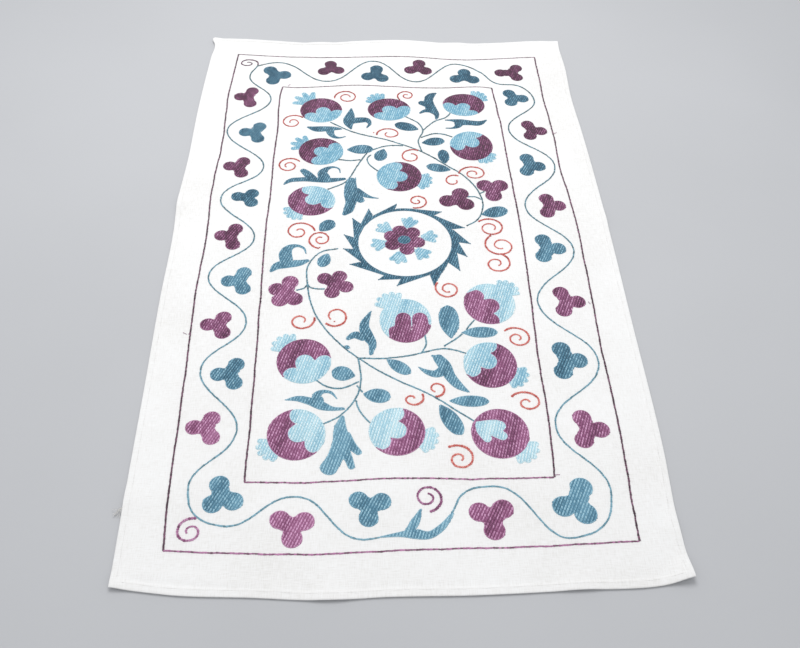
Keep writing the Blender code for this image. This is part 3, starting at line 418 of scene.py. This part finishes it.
def polar(x, y, radius, heading):
    """The point at a distance and heading from another."""
    angle = math.radians(heading)
    return (x + radius * math.cos(angle), y + radius * math.sin(angle))


def oval(x, y, rx, ry, count=48):
    """Points around an ellipse."""
    angles = np.linspace(0, 2 * math.pi, count, endpoint=False)
    return np.column_stack([x + rx * np.cos(angles), y + ry * np.sin(angles)])


def sideways(path):
    """The unit vector to the left of a path at each of its points."""
    steps = np.gradient(path, axis=0)
    steps = steps / np.hypot(*steps.T)[:, None]
    return np.column_stack([-steps[:, 1], steps[:, 0]])


def lengths_along(path):
    """Distance along a path to each of its points."""
    return np.concatenate([[0], np.cumsum(np.hypot(*np.diff(path, axis=0).T))])


def points_along(path, distances):
    """The points of a path at distances along it."""
    along = lengths_along(path)
    return np.column_stack([np.interp(distances, along, column) for column in path.T])


def resample(path, spacing):
    """Points at an even spacing along a path."""
    total = lengths_along(path)[-1]
    return points_along(path, np.linspace(0, total, max(1, round(total / spacing)) + 1))


def stroke_outline(stations):
    """The outline of a tapering stroke along a curve, round at its wide ends."""
    path = smooth(stations, 3)
    half = path[:, 2:] / 2
    side = sideways(path[:, :2])
    forward = np.column_stack([side[:, 1], -side[:, 0]])
    turns = np.radians([60, 30, 0, -30, -60])[:, None]
    nose = path[-1, :2] + half[-1] * (0.8 * np.cos(turns) * forward[-1] + np.sin(turns) * side[-1])
    tail = path[0, :2] - half[0] * (0.8 * np.cos(turns) * forward[0] + np.sin(turns) * side[0])
    left, right = path[:, :2] + side * half, path[:, :2] - side * half
    return np.vstack([left, nose, right[::-1], tail])


def leaf_outline(leaf, count=14, belly=0.42):
    """A leaf with a round foot, widest at its belly, and a pointed tip."""
    t = np.linspace(0, 1, count + 1)
    foot = np.sqrt(np.clip(1 - (1 - t / belly) ** 2, 0, 1))
    tip = np.cos(math.pi / 2 * np.clip((t - belly) / (1 - belly), 0, 1) ** 1.25)
    wide = np.where(t < belly, foot, tip)
    along = (np.concatenate([t, t[-2:0:-1]]) - 0.5) * leaf.length
    across = np.concatenate([-wide, wide[-2:0:-1]]) * leaf.width / 2
    angle = math.radians(leaf.heading)
    return np.column_stack([leaf.x + along * math.cos(angle) - across * math.sin(angle),
                            leaf.y + along * math.sin(angle) + across * math.cos(angle)])


def tulip_outline(fruit, count=61):
    """The scalloped edge of the tulip in a fruit, and what closes it behind."""
    right, left = TULIP_SPREAD[fruit.tulip]
    aside = np.linspace(-right, left, count)
    lobes = []
    for forward, centre, radius in TULIPS[fruit.tulip]:
        rise = np.sqrt(np.clip(radius ** 2 - (aside - centre) ** 2, 0, None))
        lobes.append(np.where(abs(aside - centre) < radius, forward + rise, -0.5))
    edge = np.vstack([np.column_stack([np.max(lobes, axis=0), aside]), TULIP_BACK[fruit.tulip]])
    ahead, aside = (edge + [fruit.ahead, fruit.aside]).T
    angle = math.radians(fruit.heading)
    return np.column_stack([
        fruit.x + (ahead * math.cos(angle) - aside * math.sin(angle)) * fruit.rx,
        fruit.y + (ahead * math.sin(angle) + aside * math.cos(angle)) * fruit.ry])


def fan_outline(x, y, heading, reach, count, turn, width, web):
    """Blunt fingers that spread from a point, joined over the part of their length given as web."""
    foot = np.array([x, y])
    outline = []
    for i, part in enumerate(np.linspace(-1, 1, count)):
        along = np.array(polar(0, 0, 1, heading + turn * part))
        across = np.array([-along[1], along[0]]) * width / 2
        tip = foot + along * reach * (1 - 0.07 * part ** 2)
        shoulder, knuckle = tip - along * width * 0.4, tip - along * width * 0.1
        if i == 0:
            outline.append(foot - across * 1.4)
        else:
            outline.append(polar(x, y, reach * web, heading + turn * (part - 1 / (count - 1))))
        outline += [shoulder - across, knuckle - across * 0.75, tip, knuckle + across * 0.75,
                    shoulder + across]
    outline.append(foot + across * 1.4)
    return np.array(outline)


def fruit_fills(fruit, pale):
    """A pomegranate: its crown, its body and the tulip inlaid at its stem."""
    focus = polar(fruit.x, fruit.y, 0.7 * (fruit.rx + fruit.ry) / 2, fruit.crown)
    body = oval(fruit.x, fruit.y, fruit.rx, fruit.ry)
    crown = fan_outline(*focus, fruit.crown, fruit.reach, fruit.fingers, CROWN_TURN, CROWN_FINGER,
                        fruit.web)
    return [Fill("aqua", crown, None), Fill("aqua" if pale else "plum", body, None),
            Fill("plum" if pale else "aqua", tulip_outline(fruit), body)]


def blossom_fills(thread, radius, lobes):
    """A trefoil or clover: round lobes that merge in the middle."""
    middle = np.mean(lobes, axis=0)
    discs = [oval(*lobe, radius * 1.02, radius * 1.02, 32) for lobe in lobes]
    discs += [oval(*(middle + lobe) / 2, radius * 0.9, radius * 0.9, 32) for lobe in np.array(lobes)]
    discs.append(oval(*middle, radius, radius, 32))
    return [Fill(thread, outline, None) for outline in discs]


def thorn_outline(heading, tip):
    """A tooth of the wreath: steep in front, with a long straight back that meets the ring."""
    base = WREATH.radius + WREATH.width / 2
    back = math.degrees(math.acos(base / tip))
    edge = [(tip, 0), (base - 1, 3), (base - 1.5, back / 2), (base, back)]
    return np.array([polar(WREATH.x, WREATH.y, radius, heading + turn) for radius, turn in edge])


def wreath_fills():
    """The thorns and the ring, with its middle left bare."""
    x, y, radius, half = WREATH.x, WREATH.y, WREATH.radius, WREATH.width / 2
    fills = [Fill("teal", thorn_outline(*thorn), None) for thorn in THORNS]
    return fills + [Fill("teal", oval(x, y, radius + half, radius + half, 120), None),
                    Fill(None, oval(x, y, radius - half, radius - half, 120), None)]


def rosette_fills():
    """Six tufts and six petals round an eye."""
    x, y = ROSETTE_X, ROSETTE_Y
    tufts = [fan_outline(*polar(x, y, TUFT_PLACE, heading), heading, TUFT_REACH, TUFT_FINGERS,
                         TUFT_TURN, TUFT_FINGER, TUFT_WEB) for heading in TUFT_HEADINGS]
    petals = [oval(*polar(x, y, PETAL_PLACE, heading), PETAL_RADIUS, PETAL_RADIUS, 32)
              for heading in PETAL_HEADINGS]
    petals.append(oval(x, y, ROSETTE_RADIUS, ROSETTE_RADIUS))
    return ([Fill("aqua", outline, None) for outline in tufts]
            + [Fill("plum", outline, None) for outline in petals]
            + [Fill("teal", oval(x, y, *EYE), None)])


def leaf_fills():
    """Plain and curling leaves, each a list of fills of its own."""
    plain = [[Fill("teal", leaf_outline(leaf), None)] for leaf in LEAVES]
    return plain + [[Fill("teal", stroke_outline(stations), None) for stations in strokes]
                    for strokes in SCROLLS]


def spiral_path(item):
    """A spiral that winds in from its outer end."""
    t = np.linspace(0, 1, 90)
    radius = item.inner + (item.outer - item.inner) * (1 - t) ** 1.25
    angle = np.radians(item.heading + item.sweep * t)
    return np.column_stack([item.x + radius * np.cos(angle),
                            item.y + radius * item.squash * np.sin(angle)])


def is_inside(points, outline):
    """Whether a closed outline winds round each point."""
    x, y = points[:, :1], points[:, 1:]
    (x0, y0), (x1, y1) = outline.T, np.roll(outline, -1, axis=0).T
    side = (x1 - x0) * (y - y0) - (x - x0) * (y1 - y0)
    upward = (y0 <= y) & (y1 > y) & (side > 0)
    downward = (y0 > y) & (y1 <= y) & (side < 0)
    return upward.sum(axis=1) != downward.sum(axis=1)


def thread_at(points, fills):
    """The thread that shows at each point: its number in THREADS from 1, or 0 on bare cloth."""
    shown = np.zeros(len(points), int)
    for fill in fills:
        low, high = fill.outline.min(axis=0), fill.outline.max(axis=0)
        near = np.flatnonzero(((points > low) & (points < high)).all(axis=1))
        inside = is_inside(points[near], fill.outline)
        if fill.within is not None:
            inside &= is_inside(points[near], fill.within)
        shown[near[inside]] = THREADS.index(fill.thread) + 1 if fill.thread else 0
    return shown


def bell(gap):
    """A soft rise: 1 at no gap, and 0 from a gap of 1 on."""
    return (1 + np.cos(math.pi * np.minimum(gap, 1))) / 2


def distance_to_line(points, start, end):
    """Distance from each point to a straight line between two others."""
    step = np.array(end, float) - start
    along = np.clip((points - start) @ step / (step @ step), 0, 1)
    return np.hypot(*(points - start - along[:, None] * step).T)


def underside(points):
    """Height of the sheet's underside: its lifted edges, its creases and a faint waviness."""
    height = np.zeros(len(points))
    for item in LIFTS:
        gap = np.hypot(points[:, 0] - item.x, points[:, 1] - item.y) / item.reach
        height = np.maximum(height, item.height * bell(gap))
    for item in CREASES:
        gap = distance_to_line(points, (item.x0, item.y0), (item.x1, item.y1)) / item.half_width
        height = np.maximum(height, item.height * bell(gap))
    x, y = points.T
    waves = np.sin(x / 47 + 1.3 * np.sin(y / 90)) + np.sin(y / 61 + 1.1 * np.sin(x / 75) + 2)
    return height + WAVINESS * (waves + 2) / 4


def hem_stations(length):
    """Distances across the cloth: close together at both hems, and even between them."""
    near = np.array(HEM_STATIONS)
    count = round((length - 2 * near[-1]) / GRID_STEP)
    between = np.linspace(near[-1], length - near[-1], count + 1)[1:-1]
    return np.concatenate([near, between, length - near[::-1]])


def hem_profile(depth, along):
    """Heights of the face and of the underside over the sheet's bed, at a depth from the edge."""
    crest = HEM_THICKNESS + 0.1 * np.sin(along / 4.1 + 2 * np.sin(along / 37))
    edge = np.sqrt(1 - (1 - np.clip(depth / 1.8, 0, 1)) ** 2)
    step = np.clip((depth - HEM_WIDTH + 1.8) / 4, 0, 1)
    step = step * step * (3 - 2 * step)
    face = crest * (1 + edge) / 2 * (1 - step) + SHEET * step
    under = crest / 2 * (1 - np.sqrt(1 - (1 - np.clip(depth / 1.1, 0, 1)) ** 2))
    return face, under


def cloth_plan(u, v):
    """Points between the four sides of the cloth, at fractions of its width and length."""
    sides = {name: smooth(points, 2) for name, points in CLOTH.items()}
    near, far, left, right = (
        points_along(sides[name], parts * lengths_along(sides[name])[-1])
        for name, parts in (("near", 1 - u), ("far", u), ("left", v), ("right", 1 - v)))
    uu, vv = (grid[..., None] for grid in np.meshgrid(u, v))
    plan = (1 - vv) * near + vv * far + (1 - uu) * left[:, None] + uu * right[:, None]
    corners = (1 - uu) * ((1 - vv) * near[0] + vv * far[0]) + uu * ((1 - vv) * near[-1] + vv * far[-1])
    return plan - corners


def quads(grid):
    """The four corners of every cell of a grid of point numbers."""
    corners = (grid[:-1, :-1], grid[:-1, 1:], grid[1:, 1:], grid[1:, :-1])
    return np.stack(corners, axis=-1).reshape(-1, 4)


def make_cloth(material):
    """The cotton: one closed sheet with a rounded, folded hem."""
    across, along = hem_stations(600), hem_stations(1000)
    plan = cloth_plan(across / across[-1], along / along[-1])
    rows, columns = plan.shape[:2]
    depth_x = np.minimum(across, across[::-1])[None, :]
    depth_y = np.minimum(along, along[::-1])[:, None]
    run = np.where(depth_x < depth_y, along[:, None], across[None, :])
    face, under = hem_profile(np.minimum(depth_x, depth_y), run)
    plan = plan.reshape(-1, 2)
    bed = underside(plan)
    top = np.column_stack([plan - MIDDLE, bed + face.ravel()])
    low = np.column_stack([plan - MIDDLE, bed + under.ravel()])

    number = np.arange(rows * columns).reshape(rows, columns)
    inner = np.zeros((rows, columns), bool)
    inner[1:-1, 1:-1] = True
    below = number.copy()
    below[inner] = np.arange(inner.sum()) + rows * columns
    vertices = np.vstack([top, low[inner.ravel()]]) * MM
    return add_piece("cloth", vertices, [quads(number), quads(below)[:, ::-1]], material)


def add_piece(name, vertices, faces, material):
    """A smooth mesh that rides on the part's one body, with its one material."""
    mesh = bpy.data.meshes.new(name)
    mesh.from_pydata(vertices.tolist(), [], [face for block in faces for face in block.tolist()])
    mesh.materials.append(material)
    mesh.polygons.foreach_set("use_smooth", np.ones(len(mesh.polygons), bool))
    mesh.update()
    piece = bpy.data.objects.new(name, mesh)
    bpy.context.scene.collection.objects.link(piece)
    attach(piece, "root")
    return piece


def on_face(x, y, above):
    """Points of the drawing set at a height over the cloth's face, in metres."""
    points = np.column_stack([x, y])
    return np.column_stack([points - MIDDLE, underside(points) + SHEET + above]) * MM


def make_stitches(name, stitches, material):
    """Stitches of one thread as one mesh, each a closed spindle with a tone and a length along it."""
    x0, y0, z0, x1, y1, z1, width, height, tone = np.array(stitches).T
    start, end = on_face(x0, y0, z0), on_face(x1, y1, z1)
    along = end - start
    length = np.linalg.norm(along, axis=1)
    flat = np.hypot(along[:, 0], along[:, 1])
    across = np.column_stack([-along[:, 1], along[:, 0]]) / flat[:, None] * (width * MM / 2)[:, None]
    cap = np.minimum(0.55 * width * MM / length, 0.35)
    ring = len(SECTION)
    size = 2 * ring + 2
    vertices = np.empty((len(stitches), size, 3))
    twist = np.zeros((len(stitches), size))
    vertices[:, 0], vertices[:, -1] = start, end
    twist[:, -1] = length / MM
    for first, part in ((1, cap), (1 + ring, 1 - cap)):
        for k, (aside, rise) in enumerate(SECTION):
            vertices[:, first + k] = start + along * part[:, None]
            vertices[:, first + k, :2] += across * aside
            vertices[:, first + k, 2] += rise * height * MM
            twist[:, first + k] = part * length / MM + 0.5 * aside
    k = np.arange(ring)
    a, b = 1 + k, 1 + (k + 1) % ring
    sides = np.column_stack([a, a + ring, b + ring, b])
    caps = np.vstack([np.column_stack([0 * k, a, b]),
                      np.column_stack([0 * k + size - 1, b + ring, a + ring])])
    first = np.arange(len(stitches))[:, None, None] * size
    faces = [(sides + first).reshape(-1, 4), (caps + first).reshape(-1, 3)]
    piece = add_piece(name, vertices.reshape(-1, 3), faces, material)
    for label, values in (("tone", np.repeat(tone, size)), ("twist", twist.ravel())):
        attribute = piece.data.attributes.new(label, "FLOAT", "POINT")
        attribute.data.foreach_set("value", values.astype(np.float32))
    return piece


def stitch(start, end, width, height, tone, low=0.0):
    """A straight stitch between two points of the drawing."""
    return Stitch(*start, low, *end, low, width, height, tone)


def runs(shown):
    """The first and last index of each stretch of samples that one thread covers."""
    breaks = np.flatnonzero(np.diff(shown)) + 1
    edges = [0, *breaks, len(shown)]
    return [(first, after - 1) for first, after in zip(edges, edges[1:]) if shown[first]]


def painted_sheen_tone(y):
    """The tone of thread at a place along the cloth, with painted sheen that makes it lighter towards the
    near edge.
    """
    return 0.5 - NEARER_PAINTED_SHEEN * y * MM


def stretches(samples, ahead, middle, fills):
    """Each thread along one line across a motif, with the places where it begins and ends."""
    shown = thread_at(samples[:, None] * ahead + middle, fills)
    for first, last in runs(shown):
        begin, finish = samples[first] - SAMPLE / 2 + EDGE_INSET, samples[last] + SAMPLE / 2 - EDGE_INSET
        if finish - begin > SHORTEST_LAID:
            yield THREADS[shown[first] - 1], begin, finish


def fill_motif(fills, rng, stitches, heading, shade):
    """Rows of stitches over one motif, which all run the same way, inside a stitched edge."""
    heading = heading + rng.uniform(-4, 4)
    pitch = ROW_PITCH * rng.uniform(0.95, 1.05)
    ahead = np.array(polar(0, 0, 1, heading))
    aside = np.array(polar(0, 0, 1, heading + 90))
    corners = np.vstack([fill.outline for fill in fills])
    reach, spread = corners @ ahead, corners @ aside
    samples = np.arange(reach.min() - 1, reach.max() + 1, SAMPLE)
    # The motif's tone carries painted sheen, lighter towards the near edge
    shade = shade + painted_sheen_tone(corners[:, 1].mean()) + rng.uniform(-0.1, 0.1)
    drift, flicker = rng.uniform(0, 2 * math.pi, 2)
    for row, offset in enumerate(np.arange(spread.min() + 0.3 * pitch, spread.max() + pitch / 2, pitch)):
        tone = shade + 0.1 * math.sin(row / 2.3 + drift) + 0.07 * math.sin(row / 0.9 + flicker)
        for aslant in (-pitch / 4, pitch / 4):
            middle = (offset + aslant) * aside
            for thread, begin, finish in stretches(samples, ahead, middle, fills):
                # Laid thread, darkened as painted shade between the ties
                stitches[thread].append(stitch(middle + begin * ahead, middle + finish * ahead,
                                               pitch * 0.6, LAID_HEIGHT, tone - LAID_PAINTED_SHADE, -0.05))
        middle = (offset + rng.uniform(-0.2, 0.2)) * aside
        for thread, begin, finish in stretches(samples, ahead, middle, fills):
            tie_row(stitches[thread], middle, ahead, aside, begin, finish, tone, rng)
    for fill in fills:
        edge_stitches(fill.outline, fills, shade - EDGE_DARKER, rng, stitches)


def tie_row(stitches, middle, ahead, aside, begin, finish, tone, rng):
    """Short slanted ties, one after another over the laid thread."""
    slant = math.tan(math.radians(TIE_SLANT)) * TIE_LENGTH / 2
    for place in np.arange(begin - rng.uniform(0, 1) * TIE_STEP, finish, TIE_STEP):
        place = place + rng.uniform(-0.5, 0.5)
        a, b = max(place, begin), min(place + TIE_LENGTH, finish)
        if b - a < SHORTEST_TIE:
            continue
        part = (b - a) / TIE_LENGTH
        lean = slant * part + rng.uniform(-0.15, 0.15)
        stitches.append(stitch(
            middle + a * ahead - lean * aside, middle + b * ahead + lean * aside,
            TIE_WIDTH * rng.uniform(0.85, 1.1), TIE_HEIGHT * rng.uniform(0.85, 1.1) * (0.6 + 0.4 * part),
            tone + rng.uniform(-0.28, 0.28)))


def edge_stitches(outline, fills, tone, rng, stitches):
    """Small stitches along an outline, on each side of it where a thread ends."""
    path = resample(np.vstack([outline, outline[:1]]), EDGE_STEP)
    side = sideways(path)
    middles, normals = (path[:-1] + path[1:]) / 2, (side[:-1] + side[1:]) / 2
    shown = {hand: thread_at(middles + normals * hand * EDGE_INSET, fills) for hand in (-1, 1)}
    for hand in (-1, 1):
        for i in np.flatnonzero((shown[hand] > 0) & (shown[hand] != shown[-hand])):
            step = (path[i + 1] - path[i]) * 0.15
            start = path[i] - step + side[i] * hand * EDGE_INSET
            end = path[i + 1] + step + side[i + 1] * hand * EDGE_INSET
            stitches[THREADS[shown[hand][i] - 1]].append(
                stitch(start, end, EDGE_WIDTH, EDGE_HEIGHT, tone + rng.uniform(-0.15, 0.15)))


def waver(points, rng):
    """A path moved a little to its sides, slowly and stitch by stitch, as by an unsteady hand."""
    knots = np.arange(len(points) // 8 + 2) * 8
    slow = np.interp(np.arange(len(points)), knots, rng.uniform(-SLOW_WAVER, SLOW_WAVER, len(knots)))
    quick = rng.uniform(-QUICK_WAVER, QUICK_WAVER, len(points))
    return points + sideways(points) * (slow + quick)[:, None]


def spread(values, count):
    """Values given at equal steps along a line, for each of its points."""
    return np.interp(np.linspace(0, 1, count), np.linspace(0, 1, len(values)), values)


def chain(path, widths, tones, rng, stitches, fills):
    """Chain stitch along a path, where no fill covers it: each link is two legs that open out."""
    points = waver(resample(path, LINK_LENGTH), rng)
    side = sideways(points)
    widths = spread(widths, len(points)) * rng.uniform(0.85, 1.15, len(points))
    tones = spread(tones, len(points)) + rng.uniform(-0.25, 0.25, len(points))
    steps = np.diff(points, axis=0)
    covered = thread_at(points[:-1] + steps / 2, fills)
    for i in np.flatnonzero(covered == 0):
        for hand in (-1, 1):
            close, apart = (side[i + k] * hand * LEG_OFFSETS[k] * widths[i] for k in (0, 1))
            start = points[i] - LEG_OVERLAP * steps[i] + close
            end = points[i + 1] + LEG_OVERLAP * steps[i] + apart
            stitches.append(stitch(start, end, LEG_WIDTH * widths[i], LEG_HEIGHT * widths[i],
                                   tones[i] + rng.uniform(-0.12, 0.12)))


def make_lines(rng, stitches, fills):
    """Every stitched line."""
    # The lines' tones carry painted sheen, lighter towards the near edge
    for run in VINE:
        path = smooth(run, 2, VINE_FULLNESS)
        chain(path, (LINE_WIDTH, LINE_WIDTH), painted_sheen_tone(path[:, 1]), rng, stitches["vine"], fills)
    for run in STEMS:
        path = smooth(run, 2)
        tone = painted_sheen_tone(path[:, 1].mean()) - 0.05
        chain(path, (LINE_WIDTH, LINE_WIDTH), (tone, tone), rng, stitches["vine"], fills)
    for sides in (OUTER_FRAME, INNER_FRAME):
        for side, points in sides.items():
            tone, width = FRAME_LOOKS[side]
            chain(smooth(points, 2), (width, width), (tone, tone), rng, stitches["frame"], fills)
    for item in SPIRALS:
        tone = painted_sheen_tone(item.y) - SPIRAL_DARKER[item.thread]
        width = SPIRAL_WIDTH * (1 - SPIRAL_NEARER_WIDER * item.y * MM)
        chain(spiral_path(item), (width, width * SPIRAL_TAPER), (tone - 0.1, tone + 0.1), rng,
              stitches[item.thread], fills)


def hem_stitches(rng):
    """Small running stitches that hold the hem down."""
    made = []
    above = HEM_THICKNESS - SHEET
    for sides in CLOTH.values():
        path = resample(smooth(sides, 3), 3.6)
        inner = path - sideways(path) * (HEM_WIDTH - 2)
        for start, end in zip(inner[3:-4], inner[4:-3]):
            step = end - start
            made.append(stitch(start + 0.12 * step, start + 0.7 * step, 0.5, 0.12,
                               rng.uniform(0.4, 0.6), above))
    return made


def thread_end(points, width, tone):
    """A loose end of thread; each of its points is x, y and height above the cloth's face."""
    return [Stitch(*start, *end, width, width * 0.8, tone) for start, end in zip(points, points[1:])]


def to_linear(red, green, blue):
    """A screen colour of 0 to 255 as the colour of a surface."""
    parts = np.array([red, green, blue]) / 255
    return (*np.where(parts > 0.04045, ((parts + 0.055) / 1.055) ** 2.4, parts / 12.92), 1)


class Nodes:
    """The nodes of one procedural material."""

    def __init__(self, name):
        self.material = bpy.data.materials.new(name)
        self.material.use_nodes = True
        self.tree = self.material.node_tree
        self.shader = self.tree.nodes["Principled BSDF"]

    def add(self, kind, inputs, output=0, **settings):
        """A node with its settings made and its inputs filled, as the socket of one of its outputs."""
        node = self.tree.nodes.new("ShaderNode" + kind)
        for name, value in settings.items():
            setattr(node, name, value)
        for name, value in inputs.items():
            self.fill(node, name, value)
        return node.outputs[output]

    def fill(self, node, name, value):
        """Give an input a number, or join it to another node's output."""
        if isinstance(value, bpy.types.NodeSocket):
            self.tree.links.new(value, node.inputs[name])
        else:
            node.inputs[name].default_value = value

    def math(self, operation, *values):
        """A sum, product or wave of some values."""
        return self.add("Math", dict(enumerate(values)), operation=operation)

    def noise(self, where, scale, detail=2.0):
        """Cloudy noise from 0 to 1."""
        return self.add("TexNoise", {"Vector": where, "Scale": scale, "Detail": detail}, "Fac")

    def ramp(self, factor, stops):
        """Colours blended between stops of position and colour."""
        node = self.tree.nodes.new("ShaderNodeValToRGB")
        self.tree.links.new(factor, node.inputs["Fac"])
        elements = node.color_ramp.elements
        for _ in stops[2:]:
            elements.new(0.5)
        for element, (position, colour) in zip(elements, stops):
            element.position = position
            element.color = colour
        return node.outputs["Color"]

    def finish(self, colour, roughness, height, depth, **constants):
        """Fill the shader: colour, roughness, a bump of a depth in metres, and what is even all over."""
        bump = self.add("Bump", {"Height": height, "Strength": 1.0, "Distance": depth}, "Normal")
        for name, value in {"Base Color": colour, "Roughness": roughness, "Normal": bump}.items():
            self.fill(self.shader, name, value)
        for name, value in constants.items():
            self.shader.inputs[name.replace("_", " ")].default_value = value
        return self.material


def cotton_material():
    """Plain weave: warp and weft of uneven yarn that pass over and under each other."""
    nodes = Nodes("cotton")
    where = nodes.add("TexCoord", {}, "Object")
    waves = [nodes.math("SINE", nodes.math("MULTIPLY", nodes.add("SeparateXYZ", {0: where}, axis),
                                           2 * math.pi / YARN_PITCH)) for axis in "XY"]
    slubs = [nodes.noise(nodes.add("Mapping", {"Vector": where, "Scale": stretch}), 1.0)
             for stretch in ((1100, 90, 1), (90, 1100, 1))]
    yarns = nodes.math("ADD", *slubs)
    height = nodes.math("MULTIPLY_ADD", yarns, 2.0, nodes.math("MULTIPLY", *waves))
    clouds = nodes.math("MULTIPLY_ADD", nodes.noise(where, 9.0, 4.0), 0.4, -0.2)
    colour = nodes.ramp(nodes.math("MULTIPLY_ADD", yarns, 0.5, clouds), [
        (0.25, to_linear(*COTTON[0])), (0.5, to_linear(*COTTON[1])), (0.75, to_linear(*COTTON[2]))])
    return nodes.finish(colour, 0.92, height, 0.00002, Sheen_Weight=0.1, Sheen_Roughness=0.6)


def thread_material(name, tones):
    """Plied cotton thread, from its dark to its light tone."""
    nodes = Nodes(name)
    tone, twist = (nodes.add("Attribute", {}, "Fac", attribute_name=label) for label in ("tone", "twist"))
    fibres = nodes.noise(nodes.add("TexCoord", {}, "Object"), 1500.0)
    wound = nodes.math("SINE", nodes.math("MULTIPLY", twist, 2 * math.pi / PLY_PITCH))
    colour = nodes.ramp(nodes.math("MULTIPLY_ADD", wound, 0.07, tone), [
        (0.05, to_linear(*tones[0])), (0.5, to_linear(*tones[1])), (0.95, to_linear(*tones[2]))])
    roughness = nodes.math("MULTIPLY_ADD", fibres, 0.25, 0.32)
    return nodes.finish(colour, roughness, nodes.math("ADD", wound, fibres), 0.00007,
                        Sheen_Weight=0.2, Sheen_Roughness=0.4)


def floor_material():
    """Smooth pale plaster."""
    nodes = Nodes("floor")
    where = nodes.add("TexCoord", {}, "Object")
    grain = nodes.noise(where, 60.0, 6.0)
    colour = nodes.ramp(nodes.noise(where, 2.0, 3.0), [
        (0.3, to_linear(184, 185, 188)), (0.7, to_linear(188, 189, 192))])
    return nodes.finish(colour, 0.85, grain, 0.0002)


def make_embroidery():
    """Every stitch, in one piece for each thread of each kind of motif."""
    rng = np.random.default_rng(7)
    kinds = {
        "fruit": [fruit_fills(fruit, i in PALE_FRUITS) for i, fruit in enumerate(FRUITS)],
        "blossom": [blossom_fills(*blossom) for blossom in BLOSSOMS],
        "leaf": leaf_fills(),
        "rosette": [rosette_fills()],
        "wreath": [wreath_fills()],
    }
    made = {}
    for kind, motifs in kinds.items():
        stitches = {thread: [] for thread in THREADS}
        for fills in motifs:
            fill_motif(fills, rng, stitches, *ROW_LOOKS[kind])
        made.update({f"{thread}_{kind}": found for thread, found in stitches.items()})
    stitches = {thread: [] for thread in TONES}
    make_lines(rng, stitches, [fill for motifs in kinds.values() for fills in motifs for fill in fills])
    made.update({f"{thread}_lines": found for thread, found in stitches.items()})
    made.update({f"{thread}_ends": found for thread, found in loose_ends(rng).items()})
    made["white_hem"] = hem_stitches(rng)
    materials = {thread: thread_material(f"{thread}_thread", tones) for thread, tones in TONES.items()}
    return [make_stitches(name, stitches, materials[name.split("_")[0]])
            for name, stitches in made.items() if stitches]


def loose_ends(rng):
    """Thread tails and small knots left on the face, and a frayed end at the hem."""
    made = {thread: [] for thread in TONES}
    for thread, x, y, heading, length in TAILS:
        bend = rng.uniform(-70, 70)
        turns = heading + bend * np.linspace(-0.5, 0.5, 4)
        points = [(x, y, 0.3)]
        for turn in turns:
            points.append((*polar(*points[-1][:2], length / 4, turn), 0.35 + 0.2 * rng.uniform()))
        made[thread] += thread_end(points, 0.8, rng.uniform(0.3, 0.6))
    for thread, x, y in KNOTS:
        for heading in rng.uniform(0, 180, 3):
            a, b = polar(x, y, 1.3, heading), polar(x, y, 1.3, heading + 180)
            made[thread].append(stitch(a, b, 1.2, 1.1, rng.uniform(0.35, 0.7)))
    x, y = FRAYED_AT
    for _ in range(FRAYED_STRANDS):
        heading = rng.uniform(195, 250)
        points = [(x + rng.uniform(0, 2), y + rng.uniform(-1, 1), 0.2)]
        for drop in (0.2, -0.3, -0.6, -0.8):
            heading += rng.uniform(-28, 28)
            place = polar(*points[-1][:2], rng.uniform(2.4, 3.6), heading)
            points.append((*place, drop + rng.uniform(0, 0.3)))
        made["white"] += thread_end(points, 0.45, rng.uniform(0.3, 0.7))
    return made


def make_stage():
    """A floor under the cloth, soft light from all round and from a large lamp, and the camera."""
    world = bpy.data.worlds.new("studio")
    world.use_nodes = True
    world.node_tree.nodes["Background"].inputs["Color"].default_value = (0.97, 0.985, 1, 1)
    world.node_tree.nodes["Background"].inputs["Strength"].default_value = WORLD_STRENGTH
    scene = bpy.context.scene
    scene.world = world
    scene.view_settings.view_transform = "Standard"

    floor = bpy.data.meshes.new("floor")
    floor.from_pydata([(-4, -4, 0), (4, -4, 0), (4, 4, 0), (-4, 4, 0)], [], [(0, 1, 2, 3)])
    floor.materials.append(floor_material())
    ground = bpy.data.objects.new("floor", floor)
    ground.location.z = FLOOR_HEIGHT
    scene.collection.objects.link(ground)

    light = bpy.data.lights.new("lamp", "AREA")
    light.energy = LAMP_POWER
    light.size = LAMP_SIZE
    lamp = bpy.data.objects.new("lamp", light)
    lamp.location = LAMP_PLACE
    lamp.rotation_euler = (-lamp.location).to_track_quat("-Z", "Y").to_euler()
    scene.collection.objects.link(lamp)

    view = bpy.data.cameras.new("camera")
    view.lens, view.sensor_width = CAMERA_LENS, 36
    camera = bpy.data.objects.new("camera", view)
    camera.location = CAMERA_PLACE
    camera.rotation_euler = [math.radians(angle) for angle in CAMERA_TURN]
    scene.collection.objects.link(camera)
    scene.camera = camera
    return ground


# Middle of the box round the outline, at the spacing that the solid has
OUTLINE = circuit(CLOTH, 38)
MIDDLE = (OUTLINE.min(axis=0) + OUTLINE.max(axis=0)) / 2

ground = make_stage()
cloth = make_cloth(cotton_material())
embroidery = make_embroidery()
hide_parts(NODE)
